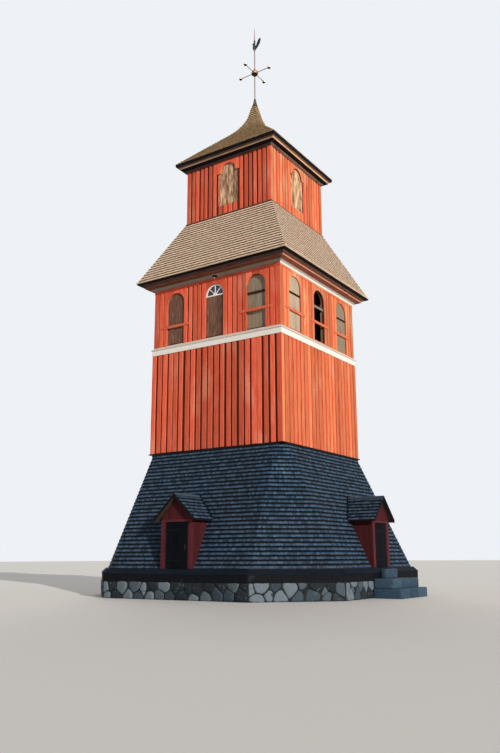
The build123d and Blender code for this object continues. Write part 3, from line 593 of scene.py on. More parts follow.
# Each CAD node takes the first finish that lists the start of its name
NODE_FINISHES = (
    (mortar, "stone_plinth"), (step_stone, "door_step_"), (red_walls, "lower_wall_ belfry_wall_"),
    (tarred, "sill_beams drip_boards lower_skirting lantern_cornice front_door right_door"),
    (floor_wood, "ground_floor belfry_floor lantern_floor"), (drip_paint, "belfry_drip_boards"),
    (underboards, "skirt_ mid_roof top_roof front_porch_roof right_porch_roof"),
    (red_porch, "front_porch_ right_porch_"), (red_lantern, "lantern_walls"), (red_rails, "window_rails"),
    (white_paint, "white_cornice fanlight_frame eaves_soffit"), (glass, "fanlight_glass"),
    (shutter_wood, "belfry_shutters lantern_shutters"), (grey_paint_plain, "open_shutters"),
    (brown_paint, "eaves_board"), (grey_edge, "eaves_edge"), (cap_metal, "spire_cap"),
    (rod_metal, "finial"), (vane_metal, "weathercock"), (iron, "door_pintles"),
)
for node_name, node_object in frame["nodes"].items():
    finish = next(m for m, starts in NODE_FINISHES if node_name.startswith(tuple(starts.split())))
    node_object.data.materials.clear()
    node_object.data.materials.append(finish)


# Fieldstone base: boulders bedded in the dark plinth

def boulders(half, height, out):
    """Boulders on one face. Each one's outline is its cell in a power diagram: along a direction u
    it reaches (d.d + w - w') / (2 d.u) towards each neighbour at d, the soft minimum of these less
    a joint. Domes over these outlines stand out as far as the stone bulges."""
    tiny, far = 1e-6, 9.0
    count = max(3, round(2 * half / 0.58))
    rows = []
    for row, level in enumerate((0.17, 0.53)):
        x = (np.arange(count + row) + 0.5 - 0.5 * row) / count * 2 * half - half
        x += rng.uniform(-0.17, 0.17, len(x))
        rows.append(np.stack((x, level + rng.uniform(-0.1, 0.1, len(x))), -1))
    chinks = rng.uniform((-half, 0.28), (half, 0.46), (count // 2, 2))
    centre = np.concatenate(rows + [chinks])
    centre[:, 0] = np.clip(centre[:, 0], 0.12 - half, half - 0.12)
    weight = np.concatenate((rng.uniform(0, 0.085, len(centre) - len(chinks)), np.full(len(chinks), -0.02)))
    turn = np.linspace(0, 2 * math.pi, 20, endpoint=False)
    aim = circle(len(turn))
    away = centre[None] - centre[:, None]
    ahead = away @ aim.T
    spaced = np.maximum(np.sum(away ** 2, -1) + weight[:, None] - weight[None], 0.004)
    reach = np.where(ahead > tiny, spaced[..., None] / np.maximum(2 * ahead, tiny), far)
    room = [np.where(sign * aim[:, axis] > tiny,
                     (limit - sign * centre[:, axis, None]) / np.maximum(sign * aim[:, axis], tiny), far)
            for axis, sign, limit in ((0, 1, half), (0, -1, half), (1, 1, height), (1, -1, 0.0))]
    every = np.concatenate((reach, np.stack(room, 1)), 1)
    outline = np.sum(np.maximum(every, 0.02) ** -8.0, 1) ** (-1 / 8.0) - 0.013
    phase = rng.uniform(0, 2 * math.pi, (len(centre), 2))
    outline *= 1 + 0.04 * np.sin(2 * turn + phase[:, :1]) + 0.03 * np.sin(3 * turn + phase[:, 1:])
    outline = np.minimum(np.maximum(outline, 0.03), 0.55)
    share = np.array([0.86, 1.0, 1.0, 0.96, 0.88, 0.68, 0.36])
    rise = np.array([-0.6, -0.4, 0.0, 0.5, 0.78, 0.94, 1.0])[None, :, None]
    bulge = rng.uniform(0.045, 0.095, (len(centre), 1, 1))
    spread = (share[None, :, None] * outline[:, None, :])[..., None] * aim
    x, z = np.moveaxis(centre[:, None, None] + spread, -1, 0)
    tilt = rng.uniform(-0.12, 0.12, (2, len(centre), 1, 1))
    lean = tilt[0] * spread[..., 0] + tilt[1] * spread[..., 1]
    return np.stack((x, out + (rise * bulge + np.maximum(rise, 0) * lean), z), -1)


stones = []
for side in SIDES:
    for turn, half, out in ((side, 3.81, PLINTH_HALF), (side + 45, 1.97, PLINTH_HALF + FOOT_CORNER)):
        local = boulders(half, PLINTH_TOP, out - 0.02)
        stones.append(carried(turned(local, turn), local))
piece("fieldstone_boulders", stones, fieldstone, smooth=True)


# Steps of hewn slabs with worn arrises

def slab_block(low, high, arris=0.035):
    """A hewn block: rounded-rectangle sections from its bed to its tread, drawn in at both arrises,
    and shaken by a few sine waves."""
    low, high = np.array(low, float), np.array(high, float)
    square = circle(40, math.pi / 4)
    square = np.sign(square) * np.abs(square) ** 0.18
    middle, half = (low + high) / 2, (high - low) / 2
    inset = np.array([0.6, 0.15, 0.0, 0.0, 0.15, 0.45, 1.0]) * arris
    level = np.concatenate((low[2] + [0, 0.02, 0.05], high[2] - [0.06, 0.03, 0.01, 0]))
    flat = middle[:2] + square[None] * (half[None, :2] - inset[:, None])[:, None]
    rings = np.concatenate((flat, np.broadcast_to(level[:, None, None], (7, 40, 1))), -1)
    phase = rng.uniform(0, 6.28, 3)
    wave = 0.008 * np.sin(7 * rings[..., 0] + 9 * rings[..., 1] + 11 * rings[..., 2] + phase[0])
    wave += 0.006 * np.sin(19 * rings[..., 1] - 13 * rings[..., 0] + phase[1])
    rings[..., 0] += wave
    rings[..., 2] -= np.abs(wave) * (level[:, None] > low[2] + 0.05)
    return carried(rings[None], tone=rng.uniform(-0.8, 0.8, 1))


step_sizes = ((SOLE_TIP + 0.015, 0.30, 0.65, 1), (SILL_HALF, 0.97, 1.40, 3), (SILL_HALF, 1.32, 1.50, 3))
step_rise = (FLOOR_LEVEL - 0.04) / len(step_sizes)
for number, (near, reach, half, count) in enumerate(step_sizes):
    top = step_rise * (len(step_sizes) - number)
    shares = np.linspace(-1, 1, count + 1)
    shares[1:-1] += rng.uniform(-0.12, 0.12, count - 1)
    blocks = [slab_block((near, a, top - step_rise), (SILL_HALF + reach, b, top))
              for a, b in planked(DOOR_MIDDLES[RIGHT] + half * shares, 0.006)]
    steps = piece(f"step_slabs_{number + 1}", blocks, step_stone, smooth=True)
    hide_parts(f"door_step_{number + 1}")

# Sole boards: thin boards over each sole, from the drip up the slope and over the ledge to the
# skirt, butted a few to each side and clipped at the mitres
sole_radius, sole_level, sole_lift = np.array([
    (SOLE_TIP, SOLE_LEVEL - 0.02, 0), (SOLE_TIP, SOLE_LEVEL, 1), (SOLE_LEDGE, FLOOR_LEVEL, 0.6),
    (SKIRT_FOOT - 0.02, FLOOR_LEVEL, 0.5), (SKIRT_FOOT - 0.02, FLOOR_LEVEL - 0.03, 0),
    (SOLE_LEDGE - 0.01, FLOOR_LEVEL - 0.04, 0)]).T
soles = []
for side in SIDES:
    for facet, count in ((0, 4), (1, 2)):
        out, half = octagon(sole_radius, FOOT_CORNER, facet)
        shares = np.linspace(-1, 1, count + 1)
        shares[1:-1] += rng.uniform(-0.08, 0.08, count - 1)
        for ends in zip(shares[:-1], shares[1:]):
            up = sole_level + sole_lift * rng.uniform(0.012, 0.020)
            local = np.stack([np.stack((share * half + inset, out, up), -1)
                              for share, inset in zip(ends, (GAP, -GAP))])[None]
            soles.append(carried(turned(local, side + 45 * facet), local[..., [1, 2, 0]]))
piece("sole_boards", soles, sole_tar)

# Skirt shingles: thirty courses woven round the corner facets, cut at the door houses
skirt_long = even_profile([(SKIRT_FOOT, FLOOR_LEVEL + 0.02), (SKIRT_HEAD, SKIRT_TOP)], 0.1975)
facet_radius = np.interp(skirt_long[:, 1], (FLOOR_LEVEL, SKIRT_TOP),
                         (SKIRT_FOOT + FOOT_CORNER, SKIRT_HEAD + HEAD_CORNER))
skirt_facet = np.stack((facet_radius, skirt_long[:, 1]), -1)


def octagon_edge(neighbour):
    """Half length of a slope at a radius and level, off a little from the boards:
    (r' - r cos 45) / sin 45, with r' the neighbour's radius there."""
    lean = (neighbour[-1, 0] - neighbour[0, 0]) / (neighbour[-1, 1] - neighbour[0, 1])

    def edge(radius, level, off):
        reach = neighbour[0, 0] + (level - neighbour[0, 1]) * lean + off * math.hypot(1, lean)
        return (reach - radius * math.sqrt(0.5)) / math.sqrt(0.5)
    return edge


def clear_of_door(middle):
    """Leaves out the shingles that would lie inside the door house with this middle."""
    def keep(across, level):
        away = np.abs(across.mean((1, 2)) - middle)
        return ~((away < PORCH_HALF) & (level[:, 1, 0] < PORCH_RIDGE - PORCH_SLOPE * away))
    return keep


shingles = []
for side in SIDES:
    field = shingle_field(len(skirt_long) - 1, 4.0, 0.13, 0.030)
    keep = None
    if side in DOOR_MIDDLES:
        middle = DOOR_MIDDLES[side]
        keep = clear_of_door(middle)
        across = field[..., 0] - middle
        away = across.mean((1, 2), keepdims=True)
        level = follow(skirt_long, field[..., 2])[0][..., 1]
        beside = (np.abs(away) > PORCH_HALF - 0.03) & (level < 3.7)
        limit = np.sign(away) * (PORCH_HALF + 0.02)
        outer = np.where(away > 0, np.maximum(across, limit), np.minimum(across, limit))
        field[..., 0] = np.where(beside, outer, across) + middle
    shingles.append(on_slope(field, side, skirt_long, octagon_edge(skirt_facet), keep))
    field = shingle_field(len(skirt_long) - 1, 2.1, 0.13, 0.030)
    shingles.append(on_slope(field, side + 45, skirt_facet, octagon_edge(skirt_long)))
piece("skirt_shingles", shingles, skirt_wood)

# Tarred board over the skirt's last course
moulding("skirt_head_boards", tarred_boards, "tarred_wood",
         [(SKIRT_HEAD + 0.01, 6.555), (SKIRT_HEAD + 0.085, 6.52), (SKIRT_HEAD + 0.085, 6.57),
          (SKIRT_HEAD - 0.01, 6.63)], corner=HEAD_CORNER)


# Door houses

def skirt_radius(level):
    """Distance of the skirt's long side from the axis at a level."""
    return SKIRT_FOOT - SKIRT_LEAN * (np.asarray(level) - FLOOR_LEVEL)


def porch_slope_shingles(side, hand):
    """Shingles on one slope of a door house: along is the level run from the skirt to the gable, up
    the slope from its eaves, off square to it; the back ends are cut to the skirt."""
    rows = 7
    run = math.hypot(PORCH_EAVES_HALF, PORCH_SLOPE * PORCH_EAVES_HALF)
    field = shingle_field(rows, 1.1, 0.13, 0.026)
    up = (field[..., 2] - 0.12) * run / rows
    fall = PORCH_EAVES_HALF / run
    x = np.maximum(PORCH_EAVES_HALF - up * fall + field[..., 1] * PORCH_SLOPE * fall, 0)
    level = PORCH_RIDGE - PORCH_SLOPE * PORCH_EAVES_HALF + up * PORCH_SLOPE * fall + field[..., 1] * fall
    level = np.minimum(level, PORCH_RIDGE + 0.05)
    out = np.clip(field[..., 0] + 5.85, skirt_radius(level), PORCH_FRONT + 0.02)
    wide = out[:, 0, 1] - out[:, 0, 0] > SLIVER
    rings = turned(np.stack((DOOR_MIDDLES[side] + hand * x, out, level), -1), side)
    local = np.stack((out, field[..., 1], up), -1)
    return carried(rings[wide], local[wide])


def gable_pair(side, reach, low, high, near, far, on_skirt=False):
    """A board along each slope of a door house, meeting over its middle: low and high are heights
    over the roof's plane, and near and far are counted from the axis, or else from the skirt."""
    x = np.array([[-reach, 0.0], [0.0, reach]])
    line = PORCH_RIDGE - PORCH_SLOPE * np.abs(x)
    start = skirt_radius(line) if on_skirt else 0.0
    return level_boards(DOOR_MIDDLES[side] + x, line + low, line + high, start + near, start + far, (side,))


porch_shingles, ridges, verges, cladding, frames = [], [], [], [], []
for side, middle in DOOR_MIDDLES.items():
    here = (side,)
    porch_shingles += [porch_slope_shingles(side, hand) for hand in (-1, 1)]
    verge_half = PORCH_EAVES_HALF + 0.015
    verges += gable_pair(side, verge_half, -0.10, 0.012, PORCH_FRONT, PORCH_FRONT + 0.028)
    verges += gable_pair(side, verge_half, 0.008, 0.034, PORCH_FRONT - 0.04, PORCH_FRONT + 0.035)
    ridges += gable_pair(side, 0.085, 0.03, 0.050, 4.90, PORCH_FRONT + 0.02)
    verges += gable_pair(side, PORCH_EAVES_HALF + 0.02, -0.03, 0.075, -0.03, 0.085, on_skirt=True)
    for hand in (-1, 1):
        eaves_x = middle + np.sort([hand * PORCH_EAVES_HALF, hand * (PORCH_EAVES_HALF + 0.018)])[None]
        verges += level_boards(eaves_x, 3.232, 3.315, 5.40, PORCH_FRONT + 0.028, here)
        cheek_out = planked(np.linspace(CHEEK_BACK, DOOR_FACE, 8), 0.003)
        cheek_foot = np.maximum(FLOOR_LEVEL + (SKIRT_FOOT - cheek_out) / SKIRT_LEAN, FLOOR_LEVEL + 0.015)
        cheek = slabs(cheek_out, cheek_foot, CHEEK_HEAD, PORCH_HALF, PORCH_HALF + 0.02)[..., [1, 0, 2]]
        cheek[..., 0] = middle + hand * cheek[..., 0]
        cladding.append(carried(turned(cheek, side), cheek))
    gable_x = planked(np.linspace(-PORCH_HALF - 0.02, PORCH_HALF + 0.02, 11))
    gable_head = PORCH_RIDGE - PORCH_DROP - 0.002 - PORCH_SLOPE * np.abs(gable_x)
    cladding += upright(middle + gable_x, LINTEL + 0.06, gable_head, DOOR_FACE,
                        uneven(DOOR_FACE + 0.017, 0.002, 10), here)
    frames += level_boards([[middle - FRAME_HALF, middle + FRAME_HALF]], LINTEL + 0.004, LINTEL + 0.105,
                           DOOR_FACE - SUNK, DOOR_FACE + 0.032, here)
    post_x = middle + np.array([[-FRAME_HALF, -0.635], [0.635, FRAME_HALF]])
    frames += nailed(post_x, FLOOR_LEVEL + 0.015, LINTEL + 0.004, DOOR_FACE, 0.022, sides=here)
piece("porch_shingles", porch_shingles, skirt_wood)
piece("porch_ridge_boards", ridges, grey_ridge)
piece("porch_verge_boards", verges, tarred_boards)
piece("porch_cladding", cladding, red_porch_boards)
piece("porch_frames", frames, red_frames)

# Door leaves: upright planks between the straps, a lock plate and a ring
for (side, middle), body in zip(DOOR_MIDDLES.items(), ("front_door_leaf", "right_door_leaf")):
    name = body.replace("_leaf", "")
    plank_x = middle + cover_boards(-LEAF_HALF, LEAF_HALF, 6, 0.182, 0.002)
    leaf = upright(plank_x, LEAF_FOOT, LEAF_HEAD, DOOR_FACE - 0.008, uneven(DOOR_FACE + 0.0055, 0.001, 6),
                   (side,))
    piece(f"{name}_planks", leaf, door_tar, body)
    plate = upright([[middle + 0.43, middle + 0.49]], 2.04, 2.22, DOOR_FACE, DOOR_FACE + 0.010, (side,))
    turn = np.linspace(0, 2 * math.pi, 25)
    ring_path = np.stack((middle + 0.46 + 0.04 * np.sin(turn), DOOR_FACE + 0.018 + 0 * turn,
                          2.13 - 0.045 * np.cos(turn)), -1)
    ring = carried(turned(tube(ring_path[:-1], 0.006)[None], side), looped=True)
    piece(f"{name}_ring", plate + [ring], iron, body)

# Lower walls: cover boards and corner boards
lower_boards = []
for side in SIDES:
    board_x = cover_boards(-LOWER_FIELD, LOWER_FIELD, 20, 0.236, 0.03)
    board_foot = uneven(LOWER_FOOT + 0.005, 0.012, 20)
    lower_boards += nailed(board_x, board_foot, LOWER_TOP, LOWER_HALF, 0.034, RAGGED, (side,))
piece("lower_wall_boards", lower_boards, red_boards)
piece("lower_corner_boards", corner_boards(LOWER_HALF, LOWER_FIELD, 0.038, LOWER_FOOT, LOWER_TOP),
      red_boards)

# Belfry walls: cover boards, jamb boards beside the windows and boards cut round the arches
belfry_boards, jambs = [], []
for side in SIDES:
    here = (side,)
    runs = [(-BELFRY_FIELD, -3.14, 1), (-1.66, -JAMB_HALF, 3), (JAMB_HALF, 1.66, 3), (3.14, BELFRY_FIELD, 1)]
    board_x = np.concatenate([cover_boards(a, b, n, 0.20 if n > 1 else 0.23, 0.02) for a, b, n in runs])
    belfry_boards += nailed(board_x, BELFRY_FOOT, BELFRY_HEAD, BELFRY_HALF, COVER, RAGGED, here)
    for window in WINDOWS:
        head_x = np.array([np.linspace(a, b, 9) for a, b in ((-SHUTTER_HALF, -0.215), (-0.175, 0.175),
                                                             (0.215, SHUTTER_HALF))])
        belfry_boards += nailed(head_x + window, arch(WINDOW_SPRINGING, WINDOW_HALF, head_x), BELFRY_HEAD,
                                BELFRY_HALF, COVER, RAGGED, here)
        jamb_x = np.array([[-JAMB_HALF, -WINDOW_HALF], [WINDOW_HALF, JAMB_HALF]]) + window
        jambs += nailed(jamb_x, BELFRY_FOOT, BELFRY_HEAD, BELFRY_HALF, 0.036, sides=here)
    jambs += corner_boards(BELFRY_HALF, BELFRY_FIELD, 0.040, BELFRY_FOOT, BELFRY_HEAD, here)
piece("belfry_boards", belfry_boards, red_boards)
piece("belfry_jamb_boards", jambs, red_boards)
moulding("belfry_frieze", red_boards, "red_boards",
         [(BELFRY_HALF, 14.90), (BELFRY_HALF + 0.045, 14.90), (BELFRY_HALF + 0.045, 15.03),
          (BELFRY_HALF, 15.03)],
         [(BELFRY_HALF, 14.895), (BELFRY_HALF + 0.055, 14.90), (BELFRY_HALF + 0.068, 14.92),
          (BELFRY_HALF + 0.050, 14.94), (BELFRY_HALF + 0.045, 14.955), (BELFRY_HALF, 14.955)])

# Shutter planks and transoms in the belfry windows. The front's left window is bare wood, and in
# some of the others the shutter is set deeper or shallower and is more or less worn. The front's
# right shutter, set deepest, is also darkened as painted shade of its reveal.
closed = [(side, window) for side in SIDES for window in WINDOWS if window or side in (BACK, LEFT)]
bare_window, deep_window = (FRONT, -2.4), (FRONT, 2.4)
shutter_depth = {deep_window: 0.110, (RIGHT, -2.4): 0.025, (RIGHT, 2.4): 0.025}
shutter_tone_and_shade = {deep_window: -1.0, (RIGHT, -2.4): 0.6, (RIGHT, 2.4): -1.0}
painted, bare, transoms = [], [], []
arched_x = planked(np.linspace(-SHUTTER_HALF, SHUTTER_HALF, 6), stations=7)
for side, window in closed:
    face = BELFRY_HALF - shutter_depth.get((side, window), 0.050)
    rings = slabs(arched_x + window, WINDOW_SILL + 0.005, arch(WINDOW_SPRINGING, SHUTTER_HALF, arched_x),
                  face - 0.03, uneven(face, 0.002, 5))
    tone = shutter_tone_and_shade.get((side, window), 0.2) + rng.uniform(-0.15, 0.15, 5)
    part = carried(turned(rings, side), rings, tone=tone)
    (bare if (side, window) == bare_window else painted).append(part)
# The fanlight's shutter stops under its frame
bare += upright(planked(np.linspace(-SHUTTER_HALF, SHUTTER_HALF, 6)), WINDOW_SILL + 0.005,
                WINDOW_SPRINGING - 0.07, BELFRY_HALF - 0.07, uneven(BELFRY_HALF - 0.050, 0.002, 5), (FRONT,))
piece("bare_shutter_planks", bare, brown_planks)
piece("painted_shutter_planks", painted, grey_paint)
for side, window in closed:
    if (side, window) != bare_window:
        face = BELFRY_HALF - (0.06 if side == FRONT else 0)
        transoms += level_boards([[window - TRANSOM_HALF, window + TRANSOM_HALF]], TRANSOM_FOOT, TRANSOM_HEAD,
                                 face - 0.055, face - 0.018, (side,))
piece("window_transoms", transoms, dark_boards)
open_transom = level_boards([[-TRANSOM_HALF, TRANSOM_HALF]], TRANSOM_FOOT, TRANSOM_HEAD,
                            BELFRY_HALF - 0.10, BELFRY_HALF - 0.05, (RIGHT,))
piece("open_window_transom", open_transom, grey_paint)


# Eaves of the middle roof: a white cove, lapped brown boards, an orange-red board, bare grey boards,
# a tarred edge and a pale batten under the first shingles. The soffit is 15.165 + 0.53 (r - 3.92).

def soffit_board(near, far, lap):
    """Section of a board under the sloping soffit, from near to far, its near edge thicker by lap."""
    low, high = (15.165 + 0.53 * (r - 3.92) for r in (near, far))
    return [(near, low - 0.010 - lap), (far, high - 0.010), (far, high + 0.004), (near, low + 0.004)]


moulding("eaves_cove", white_paint, "white_paint",
         [(BELFRY_HALF, 14.985), (3.800, 14.985), (3.806, 15.050), (3.825, 15.085), (3.870, 15.130),
          (3.925, 15.172), (3.800, 15.13), (BELFRY_HALF, 15.085)], sides=(RIGHT, BACK))
# On the front and left the cove is greyed as painted shade
moulding("eaves_cove_greyed", white_paint_painted_shade, "white_paint",
         [(BELFRY_HALF, 15.035), (3.795, 15.040), (3.865, 15.080), (3.925, 15.125), (3.945, 15.176),
          (BELFRY_HALF, 15.085)], sides=(FRONT, LEFT))
moulding("eaves_lapped_boards", brown_boards, "red_boards",
         *(soffit_board(near, near + 0.045, 0.012) for near in (3.90, 3.945, 3.99)))
moulding("eaves_orange_board", orange_boards, "red_boards",
         [(4.035, 15.212), (4.15, 15.192), (4.15, 15.292), (4.035, 15.230)])
moulding("eaves_grey_boards", grey_boards, "weathered_boards",
         soffit_board(4.15, 4.23, 0.004), soffit_board(4.23, 4.315, 0.004))
moulding("eaves_drip_edge", tarred_boards, "tarred_wood",
         [(4.315, 15.352), (4.44, 15.372), (4.44, 15.465), (4.315, 15.455)])
moulding("eaves_batten", pale_batten, "roof_shingles",
         [(4.405, 15.46), (4.462, 15.462), (4.465, 15.505), (4.405, 15.535)])

# Hoisting hook over the fanlight: a forged bracket on the frieze with a pale knob under it
piece("frieze_bracket", [slab_block((0.0, -3.93, 15.03), (0.21, -3.75, 15.14), 0.02)], iron,
      smooth=True)
knob = lathe([(0.02, 14.99), (0.045, 15.005), (0.05, 15.03), (0.02, 15.045)], 16, (0.06, -3.82))
piece("frieze_knob", [knob], white_paint, smooth=True)

# Middle roof
mid_profile = even_profile([(MID_FOOT, BELFRY_TOP), (MID_HEAD, MID_TOP)], 0.183)
piece("mid_roof_shingles", square_roof(mid_profile, 4.5, 0.12, 0.030), roof_wood)
moulding("lantern_foot_boards", brown_boards, "weathered_boards",
         [(LANTERN_HALF, 18.90), (2.70, 18.90), (2.69, 18.96), (LANTERN_HALF, 18.98)])

# Lantern walls: cover boards beside and under the window, a board cut round its arch, corner boards
lantern_boards, lantern_trim = [], []
head_x = np.concatenate((np.linspace(-0.70, -0.5001, 4), np.linspace(-LANTERN_ARCH, LANTERN_ARCH, 25),
                         np.linspace(0.5001, 0.70, 4)))[None]
for side in SIDES:
    here = (side,)
    board_x = np.concatenate([cover_boards(a, b, 6, 0.175, 0.02) for a, b in
                              ((-LANTERN_FIELD, -LANTERN_TRIM), (LANTERN_TRIM, LANTERN_FIELD))])
    lantern_boards += nailed(board_x, LANTERN_FOOT, LANTERN_EAVES, LANTERN_HALF, COVER, RAGGED, here)
    board_x = cover_boards(-LANTERN_TRIM, LANTERN_TRIM, 4, 0.22)
    lantern_boards += nailed(board_x, LANTERN_FOOT, LANTERN_SILL - 0.02, LANTERN_HALF, COVER, RAGGED, here)
    lantern_trim += nailed(head_x, arch(LANTERN_SPRINGING, LANTERN_ARCH, head_x), LANTERN_EAVES,
                           LANTERN_HALF, 0.034, sides=here)
    lantern_trim += corner_boards(LANTERN_HALF, LANTERN_FIELD, 0.038, LANTERN_FOOT, LANTERN_EAVES, here)
piece("lantern_boards", lantern_boards, red_boards)
piece("lantern_trim", lantern_trim, red_boards)
plank_x = planked([-0.625, -0.40, -0.18, 0.06, 0.27, 0.46, 0.625], stations=7)
plank_head = np.where(np.abs(plank_x) < LANTERN_SHUTTER, arch(LANTERN_SPRINGING, LANTERN_SHUTTER, plank_x),
                      LANTERN_SPRINGING - GAP)
lantern_planks = []
for side in SIDES:
    lantern_planks += upright(plank_x, LANTERN_SILL + 0.004, plank_head, LANTERN_HALF - 0.07,
                              uneven(LANTERN_HALF - 0.048, 0.004, 6), (side,))
piece("lantern_shutter_planks", lantern_planks, bleached_planks)

# Lantern eaves: a grey cove on the wall, a tarred box with a cream edge, a grey soffit, a tarred edge
moulding("lantern_cove", grey_boards, "weathered_boards",
         [(LANTERN_HALF, 21.955), (2.68, 21.96), (2.715, 21.99), (2.77, 22.02), (2.77, 22.08),
          (LANTERN_HALF, 22.08)])
moulding("lantern_eaves_box", tarred_boards, "tarred_wood",
         [(2.77, 22.05), (2.955, 22.125), (2.955, 22.24), (2.77, 22.12)])
moulding("lantern_cream_moulding", cream_boards, "white_paint",
         [(2.945, 22.135), (2.972, 22.14), (2.98, 22.225), (2.945, 22.225)])
moulding("lantern_grey_soffit", grey_boards, "weathered_boards",
         [(2.97, 22.215), (3.065, 22.26), (3.065, 22.31), (2.97, 22.25)])
moulding("lantern_eaves_edge", tarred_boards, "tarred_wood",
         [(3.06, 22.265), (3.12, 22.275), (3.128, 22.425), (3.06, 22.425)])

# Top roof: straight slopes, a sweep through three points on one circle and a slender shingled neck.
# The circle's centre solves 2 (q - p) . centre = q.q - p.p for two pairs of them.
a, b, c = np.array([(1.11, 2.08), (0.56, 2.77), (0.28, 3.37)])
centre = np.linalg.solve(2 * np.array([b - a, c - a]), [b @ b - a @ a, c @ c - a @ a])
start, end = (math.atan2(p[1] - centre[1], p[0] - centre[0]) for p in (a, c))
sweep = [(3.10, 0.055), a]
sweep += [centre + np.linalg.norm(a - centre) * np.array((math.cos(t), math.sin(t)))
          for t in np.linspace(start, end, 12)[1:]]
top_profile = even_profile([(r, z + LANTERN_TOP) for r, z in sweep + [(0.10, 4.18)]], 0.155)
piece("top_roof_shingles", square_roof(top_profile, 3.2, 0.11, 0.026), mossy_wood)

# Cap: rolled foot, standing seams and a drawn head
cap_parts = [lathe([(r, level + z) for r, z in profile]) for level, profile in (
    (CAP_LEVEL, ((0.13, -0.025), (0.155, -0.025), (0.163, -0.008), (0.155, 0.012), (0.13, 0.018))),
    (CAP_TOP, ((0.045, -0.04), (0.062, -0.03), (0.066, 0), (0.055, 0.03), (0.040, 0.05))))]
for turn in SIDES:
    t = math.radians(turn + 20)
    seam = [(r * math.cos(t), r * math.sin(t), z)
            for r, z in ((0.141, CAP_LEVEL + 0.005), (0.096, 26.75), (0.050, CAP_TOP - 0.02))]
    cap_parts.append(carried(tube(seam, 0.007, 6)[None]))
piece("spire_cap_seams", cap_parts, cap_metal, smooth=True)

# Finial: collars on the rod at the great ball, and where the arms enter it and their small balls
collars = [lathe([(r, CROSS_LEVEL + s * z) for r, z in ((0.045, 0.17), (0.065, 0.185), (0.065, 0.215),
                                                        (0.038, 0.25))]) for s in (-1, 1)]
for side in SIDES:
    for near, far in ((0.175, 0.215), (0.865, 0.89)):
        path = [(0, out, CROSS_LEVEL) for out in (near, (near + far) / 2, far)]
        collars.append(carried(turned(tube(path, 0.034, 12)[None], side)))
piece("finial_collars", collars, iron, smooth=True)


def ball_skin(radius, centre, clear):
    """Sheet over a ball: radius times the sine and cosine of an angle, open at the poles by clear."""
    turn = np.linspace(clear, math.pi - clear, 17)
    profile = np.stack((radius * np.sin(turn), CROSS_LEVEL - radius * np.cos(turn)), -1)
    return lathe(profile, 32, centre)


piece("great_ball_skin", [ball_skin(0.194, (0, 0), 0.2)], copper, smooth=True)
small_balls = [ball_skin(0.097, (0.97 * math.cos(t), 0.97 * math.sin(t)), 0.1) for t in np.radians(SIDES)]
piece("small_ball_skins", small_balls, gilding, smooth=True)

# Weathercock: raised wing and tail feathers riveted to both sides of the sheet
wing = np.array([(-0.22, 0.05), (0.02, 0.22), (0.34, 0.28), (0.48, 0.05), (0.22, -0.22), (-0.12, -0.25)])
feather = np.array([(0.62, 0.45), (1.20, 1.00), (1.15, 1.06), (0.56, 0.50)])
rise = np.array([(-0.12, 0.12), (-0.22, 0.35), (-0.22, 0.35), (-0.12, 0.12)])
feathers = [feather + lean * rise for lean in (0.0, 0.5, 1.0)]
plates = []
for outline in [wing, *feathers]:
    x, z = 0.300 * outline.T
    for y in (-1, 1):
        ends = [np.stack((x, np.full(len(x), y * depth), VANE_LEVEL + 0.165 + z), -1)
                for depth in (0.004, 0.008)]
        plates.append(carried(np.array(ends)[None]))
piece("weathercock_feathers", plates, vane_metal, "vane")

# Stage: pale floor and backdrop, a broad key light from the right and an even sky
floor_mesh = bpy.data.meshes.new("floor")
floor_mesh.from_pydata([(-400, -400, 0), (400, -400, 0), (400, 400, 0), (-400, 400, 0)], [], [(0, 1, 2, 3)])
floor_object = bpy.data.objects.new("floor", floor_mesh)
bpy.context.scene.collection.objects.link(floor_object)
floor_finish, _, floor_shader, _ = new_finish("pale_floor", 0.95)
floor_shader.inputs["Base Color"].default_value = linear("#e4e4e2")
floor_mesh.materials.append(floor_finish)

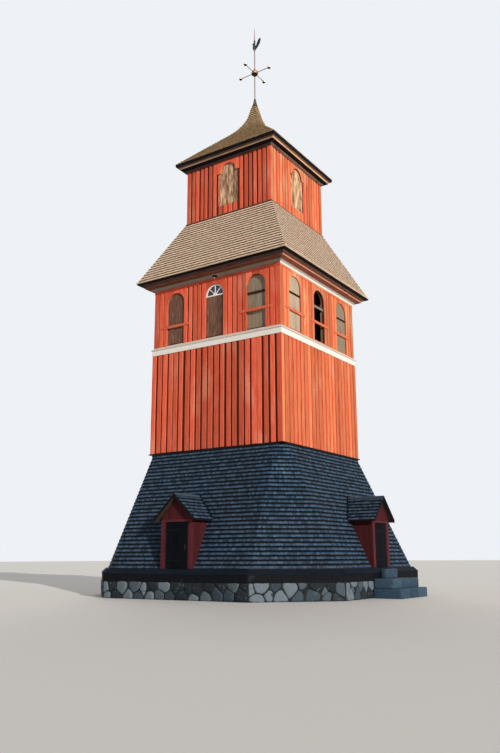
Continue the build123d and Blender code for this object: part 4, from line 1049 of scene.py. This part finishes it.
world = bpy.data.worlds.new("studio")
bpy.context.scene.world = world
world.use_nodes = True
sky = world.node_tree
seen = add(sky, "LightPath").outputs
direct = maths(sky, "MAXIMUM", seen["Is Camera Ray"], seen["Is Glossy Ray"])
direct = maths(sky, "MAXIMUM", direct, seen["Is Transmission Ray"])
light = sky.nodes["Background"]
light.inputs[0].default_value = linear("#f4f6fa")
light.inputs[1].default_value = 0.22
backdrop = add(sky, "Background", {0: linear("#eef1f5"), 1: 1.0})
both = add(sky, "MixShader", {0: direct, 1: light.outputs[0], 2: backdrop.outputs[0]})
sky.links.new(both.outputs[0], sky.nodes["World Output"].inputs[0])


def lamp(name, azimuth, elevation, strength, softness):
    """A sun lamp from this direction: azimuth 0 shines on the front and 90 on the right side."""
    data = bpy.data.lights.new(name, "SUN")
    data.energy = strength
    data.angle = math.radians(softness)
    data.color = (1.0, 0.94, 0.86)
    sun = bpy.data.objects.new(name, data)
    bpy.context.scene.collection.objects.link(sun)
    sun.rotation_euler = (math.radians(90 - elevation), 0, math.radians(azimuth))


lamp("key", 63, 18, 3.05, 1)
lamp("rear", 215, 35, 1.0, 40)

# Camera at the photograph's viewing angle, for a frame of 500 x 753
YAW, PITCH, ROLL = (math.radians(v) for v in (33.481, 13.507, -0.241))
camera_data = bpy.data.cameras.new("camera")
camera_data.sensor_width = 36.0
camera_data.lens = 755.833 * 36.0 / 753
camera_data.clip_end = 2000
camera = bpy.data.objects.new("camera", camera_data)
bpy.context.scene.collection.objects.link(camera)
ahead = np.array((-math.sin(YAW) * math.cos(PITCH), math.cos(YAW) * math.cos(PITCH), math.sin(PITCH)))
level_right = np.array((math.cos(YAW), math.sin(YAW), 0))
level_up = np.cross(level_right, ahead)
right = level_right * math.cos(ROLL) + level_up * math.sin(ROLL)
upward = level_up * math.cos(ROLL) - level_right * math.sin(ROLL)
matrix = np.eye(4)
matrix[:3] = np.stack((right, upward, -ahead, (20.7067, -31.9295, 1.677)), 1)
camera.matrix_world = Matrix(matrix.tolist())
bpy.context.scene.camera = camera
bpy.context.scene.view_settings.view_transform = "Standard"
